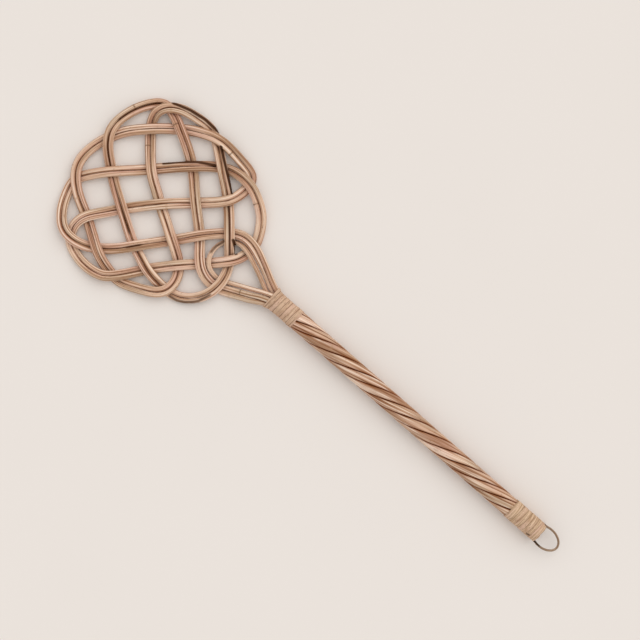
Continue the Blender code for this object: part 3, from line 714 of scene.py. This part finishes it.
def skinned(name, rings, values, finishes):
    """A closed tube through the rings. Its flat ends take the last finish."""
    count, sides = rings.shape[:2]
    corners = np.arange(count * sides).reshape(count, sides)
    following = np.roll(corners, -1, axis=1)
    quads = np.stack((corners[:-1], following[:-1], following[1:], corners[1:]), axis=2)
    faces = quads.reshape(-1, 4).tolist()
    walls = len(faces)
    faces.append(corners[0][::-1].tolist())
    faces.append(corners[-1].tolist())
    ends = len(faces) - walls
    mesh = bpy.data.meshes.new(name)
    mesh.from_pydata(rings.reshape(-1, 3).tolist(), [], faces)
    for finish in finishes:
        mesh.materials.append(finish)
    mesh.polygons.foreach_set("material_index", [0] * walls + [len(finishes) - 1] * ends)
    mesh.polygons.foreach_set("use_smooth", [True] * walls + [False] * ends)
    for key, value in values.items():
        kind, field = ("FLOAT_VECTOR", "vector") if value.ndim == 3 else ("FLOAT", "value")
        attribute = mesh.attributes.new(key, kind, "POINT")
        attribute.data.foreach_set(field, value.astype(np.float32).ravel())
    mesh.validate()
    mesh.update()
    piece = bpy.data.objects.new(name, mesh)
    bpy.context.scene.collection.objects.link(piece)
    return piece


def fit(piece, node):
    """The piece rides on the beater and stands for its CAD node, which is hidden."""
    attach(piece, "root")
    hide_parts(node)


# Sockets of a Mix node that mixes colours
MIX_SHARE = 0
MIX_FIRST = 6
MIX_SECOND = 7
MIX_RESULT = 2


class Wire:
    """A node's output. Python's operators on it add Math nodes."""

    def __init__(self, finish, socket):
        self.finish = finish
        self.socket = socket

    def math(self, operation, *values):
        """A Math node on these values."""
        return self.finish.node("ShaderNodeMath", {"operation": operation}, dict(enumerate(values)))

    def __add__(self, other):
        return self.math("ADD", self, other)

    def __sub__(self, other):
        return self.math("SUBTRACT", self, other)

    def __rsub__(self, other):
        return self.math("SUBTRACT", other, self)

    def __mul__(self, other):
        return self.math("MULTIPLY", self, other)

    __radd__ = __add__
    __rmul__ = __mul__

    def within(self, band, more=0.0):
        """0 up to the band's start, then a soft rise to its share, with more added to the share."""
        settings = {"interpolation_type": "SMOOTHSTEP"}
        sockets = {"Value": self, "From Min": band.start, "From Max": band.full}
        return self.finish.node("ShaderNodeMapRange", settings, sockets) * (band.share + more)


class Finish:
    """A material, and the ways in which its nodes are made."""

    def __init__(self, name):
        self.material = bpy.data.materials.new(name)
        self.material.use_nodes = True
        self.tree = self.material.node_tree
        self.tree.nodes.clear()

    def node(self, kind, settings=None, sockets=None, take=0):
        """Adds one node: first its settings, then its sockets. Gives one of its outputs."""
        made = self.tree.nodes.new(kind)
        for name, value in (settings or {}).items():
            setattr(made, name, value)
        for name, value in (sockets or {}).items():
            if isinstance(value, Wire):
                self.tree.links.new(value.socket, made.inputs[name])
            elif isinstance(value, tuple) and len(value) == 3 and made.inputs[name].type == "RGBA":
                made.inputs[name].default_value = (*value, 1.0)
            else:
                made.inputs[name].default_value = value
        return Wire(self, made.outputs[take] if made.outputs else None)

    def attribute(self, name, take="Fac"):
        """A value that the mesh carries."""
        return self.node("ShaderNodeAttribute", {"attribute_name": name}, take=take)

    def noise(self, place, cloud):
        """Soft noise on a place that is stretched along each axis."""
        scaled = self.node("ShaderNodeVectorMath", {"operation": "MULTIPLY"}, {0: place, 1: cloud.stretch})
        sockets = {"Vector": scaled, "Scale": 1.0, "Detail": cloud.detail, "Roughness": cloud.roughness}
        return self.node("ShaderNodeTexNoise", {}, sockets)

    def mixed(self, share, first, second):
        """One colour turning into another."""
        settings = {"data_type": "RGBA", "clamp_factor": True}
        sockets = {MIX_SHARE: share, MIX_FIRST: first, MIX_SECOND: second}
        return self.node("ShaderNodeMix", settings, sockets, take=MIX_RESULT)

    def bumped(self, height, relief):
        """A normal that follows small heights."""
        sockets = {"Strength": relief.strength, "Distance": relief.height, "Height": height}
        return self.node("ShaderNodeBump", {}, sockets)

    def surface(self, **sockets):
        """The shader and the output."""
        named = {"Specular IOR Level": SHINE}
        named.update((name.replace("_", " "), value) for name, value in sockets.items())
        shader = self.node("ShaderNodeBsdfPrincipled", {}, named)
        self.node("ShaderNodeOutputMaterial", {}, {"Surface": shader})
        return self.material


def cane_finish():
    """Rattan skin: grain along the cane, warm and olive stretches, grime, dirt and painted shade in the
    grooves, stains and leaf scars.
    """
    shades = colours()
    finish = Finish("rattan skin")
    grain = finish.attribute("grain", "Vector")
    handled = finish.attribute("handled")
    streaks = finish.noise(grain, CANE_STREAKS)
    threads = finish.noise(grain, CANE_THREADS)
    patches = finish.noise(grain, CANE_PATCHES)
    specks = finish.noise(grain, CANE_SPECKS)
    tone = finish.noise(grain, CANE_TONES)
    dusk = finish.noise(grain, CANE_DUSK)
    filth = finish.noise(grain, CANE_FILTH).within(FILTH_BAND)
    warm = finish.mixed(tone.within(PINK_BAND), tuple(shades.cane_tan), tuple(shades.cane_pink))
    skin = finish.mixed(tone.within(OLIVE_BAND), warm, tuple(shades.cane_olive))
    skin = finish.mixed(handled * (GRIME_SHARE + dusk.within(DUSK_BAND)), skin, CANE_GRIME)
    rust = streaks.within(RUST_STREAK_BAND) + threads.within(RUST_THREAD_BAND)
    skin = finish.mixed(rust, skin, CANE_RUST)
    skin = finish.mixed(streaks.within(DARK_BAND, handled * DARK_IN_HANDLE), skin, CANE_DARK)
    skin = finish.mixed(streaks.within(PALE_BAND), skin, CANE_PALE)
    skin = finish.mixed(patches.within(PATCH_BAND), skin, CANE_PATCH)
    skin = finish.mixed(specks.within(SPECK_BAND), skin, SPECK)
    skin = finish.mixed(finish.attribute("node").within(NODE_BAND), skin, CANE_NODE)
    scar = finish.attribute("scar") + (patches - NOISE_MIDDLE) * SCAR_RAGGEDNESS
    skin = finish.mixed(scar.within(SCAR_BAND), skin, CANE_SCAR)
    # Painted shade, with dirt in filthy stretches and in the handle, darkens the skin near the next cane,
    # deepest along the listed dark lines
    gap = finish.attribute("gap") + (streaks - NOISE_MIDDLE) * GROOVE_RAGGEDNESS
    halo = gap.within(HALO_BAND, filth * HALO_IN_FILTH + handled * HALO_IN_HANDLE)
    skin = finish.mixed(halo, skin, CANE_GROOVE_SHADE_HALO)
    dirt_and_shade = gap.within(GROOVE_SHADE_AND_DIRT_BAND, filth * SHADE_AND_DIRT_IN_FILTH + handled * SHADE_AND_DIRT_IN_HANDLE)
    skin = finish.mixed(dirt_and_shade, skin, tuple(shades.groove_shade_and_dirt))
    skin = finish.mixed(gap.within(GROOVE_BED_BAND) * filth, skin, CANE_GROOVE_SHADE_DEEP)
    skin = finish.mixed(finish.attribute("deep") * gap.within(DARK_GAP_BAND), skin, CANE_GROOVE_SHADE_DEEP)
    # On the canes the stain mask carries real stains only
    uneven = SOOT_BASE + patches * SOOT_IN_PATCHES + streaks * SOOT_IN_STREAKS
    soot_and_shadow = (finish.attribute("stain_and_shadow") * uneven).within(SOOT_BAND)
    skin = finish.mixed(soot_and_shadow * (SOOT_COVER + streaks), skin, tuple(shades.stain_and_shadow))
    rough = CANE_ROUGHNESS + streaks * ROUGH_STREAKS + dirt_and_shade * ROUGH_DIRT + soot_and_shadow * ROUGH_SOOT
    height = streaks * HIGH_STREAKS + threads * HIGH_THREADS + patches * HIGH_PATCHES
    return finish.surface(Base_Color=skin, Roughness=rough, Normal=finish.bumped(height, CANE_RELIEF))


def cut_finish():
    """A cut cane's end: pale straw with dark pores."""
    shades = colours()
    finish = Finish("cut cane end")
    place = finish.node("ShaderNodeTexCoord", {}, take="Object")
    scaled = finish.node("ShaderNodeVectorMath", {"operation": "SCALE"}, {0: place, "Scale": PORES_A_METRE})
    pores = finish.node("ShaderNodeTexVoronoi", {"feature": "F1"}, {"Vector": scaled, "Scale": 1.0})
    straw = finish.mixed(finish.noise(place, CUT_CLOUD), tuple(shades.pith), STRAW_DARK)
    straw = finish.mixed(pores.within(PORE_BAND), straw, tuple(shades.groove_shade_and_dirt))
    normal = finish.bumped(pores, CUT_RELIEF)
    return finish.surface(Base_Color=straw, Roughness=CUT_ROUGHNESS, Normal=normal)


def strip_finish(name, main, dull, seam_shade_and_dirt):
    """Flat cane of a binding: fine fibres along it, darker at its edges with dirt and painted shade, and
    painted shadow at listed spots.
    """
    finish = Finish(name)
    grain = finish.attribute("grain", "Vector")
    fibres = finish.noise(grain, STRIP_FIBRES)
    threads = finish.noise(grain, STRIP_THREADS)
    patches = finish.noise(grain, STRIP_PATCHES)
    specks = finish.noise(grain, STRIP_SPECKS)
    tone = finish.noise(grain, STRIP_TONES)
    filth = finish.noise(grain, STRIP_FILTH).within(STRIP_FILTH_BAND)
    skin = finish.mixed(fibres.within(STRIP_FIBRE_BAND), dull, main)
    skin = finish.mixed(tone.within(STRIP_PINK_BAND), skin, STRIP_PINK)
    skin = finish.mixed(threads.within(STRIP_PALE_BAND), skin, STRIP_PALE)
    skin = finish.mixed(patches.within(STRIP_PATCH_BAND), skin, STRIP_PATCH)
    skin = finish.mixed(specks.within(STRIP_SPECK_BAND), skin, SPECK)
    # Painted shade, with dirt in filthy stretches, at the seams between turns
    edge = finish.attribute("edge") + (fibres - NOISE_MIDDLE) * STRIP_EDGE_RAGGEDNESS
    dirt_and_shade = edge.within(STRIP_EDGE_BAND) * filth * seam_shade_and_dirt
    skin = finish.mixed(dirt_and_shade, skin, STRIP_SEAM_SHADE_AND_DIRT)
    # Painted shadow where the loop's legs meet the end binding
    uneven = STRIP_SHADOW_BASE + patches * STRIP_SHADOW_IN_PATCHES + fibres
    soot_and_shadow = (finish.attribute("stain_and_shadow") * uneven).within(STRIP_SHADOW_BAND)
    shadow_cover = soot_and_shadow * (STRIP_SHADOW_COVER + fibres * STRIP_SHADOW_IN_FIBRES)
    skin = finish.mixed(shadow_cover, skin, tuple(colours().stain_and_shadow))
    rough = STRIP_ROUGHNESS + fibres * STRIP_ROUGH_FIBRES + dirt_and_shade * STRIP_ROUGH_DIRT
    height = fibres * STRIP_HIGH_FIBRES + threads * STRIP_HIGH_THREADS
    return finish.surface(Base_Color=skin, Roughness=rough, Normal=finish.bumped(height, STRIP_RELIEF))


def loop_finish():
    """Thin grey-brown cane of the hanging loop, with painted shadow darkening one leg by the end binding.
    """
    finish = Finish("hanging loop cane")
    grain = finish.attribute("grain", "Vector")
    streaks = finish.noise(grain, LOOP_STREAKS)
    patches = finish.noise(grain, LOOP_PATCHES)
    skin = finish.mixed(streaks.within(LOOP_STREAK_BAND), LOOP_DULL, tuple(colours().loop))
    skin = finish.mixed(patches.within(LOOP_PALE_BAND), skin, LOOP_PALE)
    # Painted shadow on the leg by the end binding
    soot_and_shadow = (finish.attribute("stain_and_shadow") * (LOOP_SHADOW_BASE + patches)).within(LOOP_SHADOW_BAND)
    skin = finish.mixed(soot_and_shadow, skin, LOOP_LEG_SHADOW)
    rough = LOOP_ROUGHNESS + streaks * LOOP_ROUGH_STREAKS
    return finish.surface(Base_Color=skin, Roughness=rough, Normal=finish.bumped(streaks, LOOP_RELIEF))


def core_finish():
    """Raw, dark wood of the stick inside the handle."""
    finish = Finish("raw core wood")
    place = finish.node("ShaderNodeTexCoord", {}, take="Object")
    fibres = finish.noise(place, CORE_FIBRES)
    pores = finish.noise(place, CORE_PORES)
    skin = finish.mixed(fibres.within(CORE_FIBRE_BAND), CORE_DARK, tuple(colours().core))
    skin = finish.mixed(pores.within(CORE_PORE_BAND), skin, CORE_PORE)
    rough = CORE_ROUGHNESS + fibres * CORE_ROUGH_FIBRES
    return finish.surface(Base_Color=skin, Roughness=rough, Normal=finish.bumped(fibres, CORE_RELIEF))


def floor_finish():
    """Plain pale floor."""
    finish = Finish("pale floor")
    place = finish.node("ShaderNodeTexCoord", {}, take="Object")
    cloud = finish.noise(place, FLOOR_CLOUD)
    pale = finish.mixed(cloud * FLOOR_DULL_SHARE, tuple(colours().floor), FLOOR_DULL)
    return finish.surface(Base_Color=pale, Roughness=FLOOR_ROUGHNESS)


FINISHES = {}


def shared(maker):
    """A finish that several pieces share, made once."""
    if maker not in FINISHES:
        FINISHES[maker] = maker()
    return FINISHES[maker]


def make_cane(node):
    """One cane from its course to its finished piece."""
    course = next(found for found in cane_courses() if found.node == node)
    rings, grain = cane_rings(course)
    around = np.ones(CANE_SIDES)[None]
    faint = photo_mask(rings, PHOTO_FAINT_STAINS, FAINT_STAIN_WIDTH) * FAINT_STAIN_SHARE
    values = {
        "grain": grain,
        # gap and deep place the painted groove shade
        "gap": neighbour_gaps(course, rings),
        "scar": np.clip(course.distance_to(course.scars) / SCAR_REACH, 0, 1)[:, None] * around,
        "node": np.clip(course.distance_to(course.nodes) / SCAR_REACH, 0, 1)[:, None] * around,
        "stain_and_shadow": np.maximum(photo_mask(rings, PHOTO_CANE_STAINS, STAIN_AND_SHADOW_WIDTH), faint),
        "deep": photo_mask(rings, PHOTO_DARK_GAPS, DARK_GAP_WIDTH),
        "handled": course.in_handle[:, None] * around,
    }
    piece = skinned(f"{node}_rattan", rings, values, [shared(cane_finish), shared(cut_finish)])
    fit(piece, node)


def taut_outline(points):
    """The tight outline round flat points about the handle's axis: its radius in each direction."""
    angles = np.linspace(0, 2 * math.pi, WRAP_DIRECTIONS, endpoint=False)
    directions = np.stack((np.cos(angles), np.sin(angles)), axis=1)
    support = (points @ directions.T).max(0)
    cosines = np.cos(angles[:, None] - angles[None])
    reach = support[None] / np.maximum(cosines, LEAST_COSINE)
    reach[cosines <= LEAST_COSINE] = np.inf
    return reach.min(1)


class Wrap:
    """The tight outline of the canes at even steps along a stretch of the handle."""

    def __init__(self, low, high):
        canes = np.concatenate([cane_rings(course)[0].reshape(-1, 3) for course in cane_courses()])
        self.low = low
        self.step = (high - low) / (WRAP_STEPS - 1)
        table = []
        for y in np.linspace(low, high, WRAP_STEPS):
            held = canes[np.abs(canes[:, 1] - y) < WRAP_SLICE]
            table.append(taut_outline(held[:, (0, 2)] - (AXIS_X, AXIS_Z)))
        self.table = np.array(table)

    def radius(self, angle, y):
        """The outline's radius in any direction at any place along the handle."""
        column = (angle / (2 * math.pi) * WRAP_DIRECTIONS) % WRAP_DIRECTIONS
        row = np.clip((y - self.low) / self.step, 0, WRAP_STEPS - 1 - SLIVER)
        left, top = np.floor(column).astype(int), np.floor(row).astype(int)
        across, down = column - left, row - top
        left %= WRAP_DIRECTIONS
        right = (left + 1) % WRAP_DIRECTIONS
        upper = self.table[top, left] * (1 - across) + self.table[top, right] * across
        lower = self.table[top + 1, left] * (1 - across) + self.table[top + 1, right] * across
        return upper * (1 - down) + lower * down


def binding_rings(low, high, widths, seed):
    """The sections of a flat strip wound tightly round the canes, and their grain and edge values."""
    size = sizes()
    wrap = Wrap(low, high)
    borders = np.concatenate(([0.0], np.cumsum(widths))) / sum(widths)
    turns = len(widths)
    turned = np.linspace(TURN_END_SHARE - 1, turns - TURN_END_SHARE, (turns + 1) * TURN_STEPS)

    def border(turn):
        """How far along the handle the strip's border lies after some turns."""
        share = np.interp(turn, range(turns + 1), borders)
        sway = EDGE_SWAY * wander(turn * SWAY_A_TURN, seed)
        return np.clip(low + (high - low) * share + sway, low, high)

    near_side = border(turned) + size.strip_gap / 2
    far_side = border(turned + 1) - size.strip_gap / 2
    cross = np.linspace(-1, 1, STRIP_CROSS_POINTS)
    crown = size.strip_thickness * (1 - CROWN_DROP * cross**CROWN_POWER)
    outline = [(place, 0.0) for place in cross[::-1]] + list(zip(cross, crown))
    angle = 2 * math.pi * turned + STRIP_START_ANGLE + seed
    floor_side = np.maximum(-np.sin(angle), LEAST_SINE)
    most = AXIS_Z / floor_side - size.strip_thickness
    mean_radius = wrap.table.mean()
    rings, grain, edge = [], [], []
    for place, height in outline:
        y = near_side + (far_side - near_side) * (place + 1) / 2
        radius = np.minimum(wrap.radius(angle, y) + WRAP_LIFT, most) + height
        x = AXIS_X + radius * np.cos(angle)
        z = AXIS_Z + radius * np.sin(angle)
        rings.append(np.stack((x, y, z), axis=1))
        grain.append(np.stack((2 * math.pi * turned * mean_radius, y, 0 * y + height), axis=1))
        edge.append(0 * y + 1 - abs(place))
    return np.stack(rings, 1), np.stack(grain, 1), np.stack(edge, 1)


def make_binding(node, low, high, widths, seed, finish):
    """A winding of flat cane."""
    rings, grain, edge = binding_rings(low.y, high.y, widths, seed)
    rings, grain, edge = rings[:, ::-1], grain[:, ::-1], edge[:, ::-1]
    # The stain mask here holds the painted leg shadows
    values = {"grain": grain, "edge": edge, "stain_and_shadow": photo_mask(rings, PHOTO_BINDING_SHADOWS, LEG_SHADOW_WIDTH)}
    piece = skinned(f"{node}_winding", rings, values, [finish])
    fit(piece, node)


def make_loop():
    """The hanging loop, a thin cane bent round."""
    size = sizes()
    line = smooth_line(middle_line("hanging_loop", size.loop_radius, False), LOOP_SPACING)
    lengths = line_lengths(line)
    _, sides, ups = frames_along(line)
    angles = np.linspace(0, 2 * math.pi, LOOP_SIDES, endpoint=False)
    cosines = np.cos(angles)[None, :, None]
    sines = np.sin(angles)[None, :, None]
    directions = sides[:, None] * cosines + ups[:, None] * sines
    waver = wander(lengths * LOOP_WAVE_SHORTENING, LOOP_SEED)
    radii = size.loop_radius * (1 + LOOP_UNEVENNESS * waver)
    rings = line[:, None] + directions * radii[:, None, None]
    grain = np.empty_like(rings)
    grain[..., 0] = lengths[:, None]
    grain[..., 1] = size.loop_radius * np.cos(angles)
    grain[..., 2] = size.loop_radius * np.sin(angles)
    # The stain mask here holds a painted leg shadow
    values = {"grain": grain, "stain_and_shadow": photo_mask(rings, (PHOTO_LOOP_LEG_SHADOW,), STAIN_AND_SHADOW_WIDTH)}
    piece = skinned("hanging_loop_cane", rings, values, [loop_finish(), shared(cut_finish)])
    fit(piece, "hanging_loop")


def make_floor():
    """A wide pale floor under the beater."""
    mesh = bpy.data.meshes.new("floor")
    half = FLOOR_HALF
    corners = [(-half, -half, 0.0), (half, -half, 0.0), (half, half, 0.0), (-half, half, 0.0)]
    mesh.from_pydata(corners, [], [(0, 1, 2, 3)])
    mesh.materials.append(floor_finish())
    floor = bpy.data.objects.new("floor", mesh)
    bpy.context.scene.collection.objects.link(floor)


def make_lights():
    """An even pale sky and one wide, soft lamp. Together they light a flat floor as bright as white."""
    scene = bpy.context.scene
    world = bpy.data.worlds.new("soft light")
    world.use_nodes = True
    background = world.node_tree.nodes["Background"]
    background.inputs["Color"].default_value = WHITE
    background.inputs["Strength"].default_value = WORLD_STRENGTH
    scene.world = world
    lamp = bpy.data.lights.new("soft lamp", "SUN")
    lamp.angle = LAMP_ANGLE
    lamp.energy = LAMP_SHARE * math.pi / math.cos(LAMP_TILT)
    key = bpy.data.objects.new("soft lamp", lamp)
    x, y = photo_direction(*LAMP_FROM_PHOTO) * math.sin(LAMP_TILT)
    key.rotation_euler = Vector((-x, -y, -math.cos(LAMP_TILT))).to_track_quat("-Z", "Y").to_euler()
    scene.collection.objects.link(key)


def make_camera():
    """A camera straight above, turned as the photograph is."""
    scene = bpy.context.scene
    camera = bpy.data.cameras.new("camera")
    camera.sensor_width = SENSOR_WIDTH
    camera.lens = SENSOR_WIDTH * CAMERA_HEIGHT / (PHOTO_SIDE * METRES_PER_PIXEL)
    stand = bpy.data.objects.new("camera", camera)
    x, y = photo_place(PHOTO_MIDDLE)
    stand.location = (x, y, AXIS_Z + CAMERA_HEIGHT)
    stand.rotation_euler = (0.0, 0.0, -PHOTO_TURN)
    scene.collection.objects.link(stand)
    scene.camera = stand
    scene.view_settings.view_transform = "Standard"


class BEATER_OT_weaving_canes(bpy.types.Operator):
    """Makes both weaving canes"""

    bl_idname = "beater.weaving_canes"
    bl_label = "Weaving canes"

    def execute(self, context):
        for node in ("weave_cane_outer", "weave_cane_inner"):
            make_cane(node)
        return {"FINISHED"}


class BEATER_OT_eye_cane(bpy.types.Operator):
    """Makes the single cane of the small eye"""

    bl_idname = "beater.eye_cane"
    bl_label = "Eye cane"

    def execute(self, context):
        make_cane("eye_cane")
        return {"FINISHED"}


class BEATER_OT_handle_core(bpy.types.Operator):
    """Gives the stick inside the handle its finish"""

    bl_idname = "beater.handle_core"
    bl_label = "Handle core"

    def execute(self, context):
        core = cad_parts["handle_core"]
        core.data.materials.clear()
        core.data.materials.append(core_finish())
        return {"FINISHED"}


class BEATER_OT_bindings(bpy.types.Operator):
    """Winds the flat cane round the neck and round the handle's end"""

    bl_idname = "beater.bindings"
    bl_label = "Bindings"

    def execute(self, context):
        shades = colours()
        neck = strip_finish("neck strip", tuple(shades.neck_strip), NECK_DULL, NECK_SEAM_SHADE_AND_DIRT)
        end = strip_finish("end strip", tuple(shades.end_strip), END_DULL, END_SEAM_SHADE_AND_DIRT)
        neck_turns = (1.0,) * sizes().neck_turns
        make_binding("neck_binding", NECK_LOW, NECK_HIGH, neck_turns, NECK_STRIP_SEED, neck)
        make_binding("end_binding", END_LOW, END_HIGH, PHOTO_END_TURNS, END_STRIP_SEED, end)
        return {"FINISHED"}


class BEATER_OT_hanging_loop(bpy.types.Operator):
    """Makes the hanging loop"""

    bl_idname = "beater.hanging_loop"
    bl_label = "Hanging loop"

    def execute(self, context):
        make_loop()
        return {"FINISHED"}


class BEATER_OT_stage(bpy.types.Operator):
    """Sets the floor, the lights and the camera"""

    bl_idname = "beater.stage"
    bl_label = "Floor, lights and camera"

    def execute(self, context):
        make_floor()
        make_lights()
        make_camera()
        return {"FINISHED"}


OPERATORS = (
    BEATER_OT_weaving_canes,
    BEATER_OT_eye_cane,
    BEATER_OT_handle_core,
    BEATER_OT_bindings,
    BEATER_OT_hanging_loop,
    BEATER_OT_stage,
)


class BEATER_PT_panel(bpy.types.Panel):
    """Lists the pieces and their sizes"""

    bl_label = "Carpet beater"
    bl_idname = "BEATER_PT_panel"
    bl_space_type = "VIEW_3D"
    bl_region_type = "UI"
    bl_category = "Carpet beater"

    def draw(self, context):
        layout = self.layout
        for group in (context.scene.beater_sizes, context.scene.beater_colours):
            column = layout.column()
            for name in group.__annotations__:
                column.prop(group, name)
        for operator in OPERATORS:
            layout.operator(operator.bl_idname)


CLASSES = (BeaterSizes, BeaterColours, *OPERATORS, BEATER_PT_panel)


def register():
    """Registers the classes and hangs the properties on the scene."""
    for made in CLASSES:
        bpy.utils.register_class(made)
    bpy.types.Scene.beater_sizes = PointerProperty(type=BeaterSizes)
    bpy.types.Scene.beater_colours = PointerProperty(type=BeaterColours)


def unregister():
    """Takes the properties and the classes away again."""
    del bpy.types.Scene.beater_colours
    del bpy.types.Scene.beater_sizes
    for made in reversed(CLASSES):
        bpy.utils.unregister_class(made)


def main():
    """Makes every piece and the stage."""
    register()
    for operator in OPERATORS:
        group, name = operator.bl_idname.split(".")
        getattr(getattr(bpy.ops, group), name)()
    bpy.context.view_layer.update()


if __name__ == "__main__":
    main()
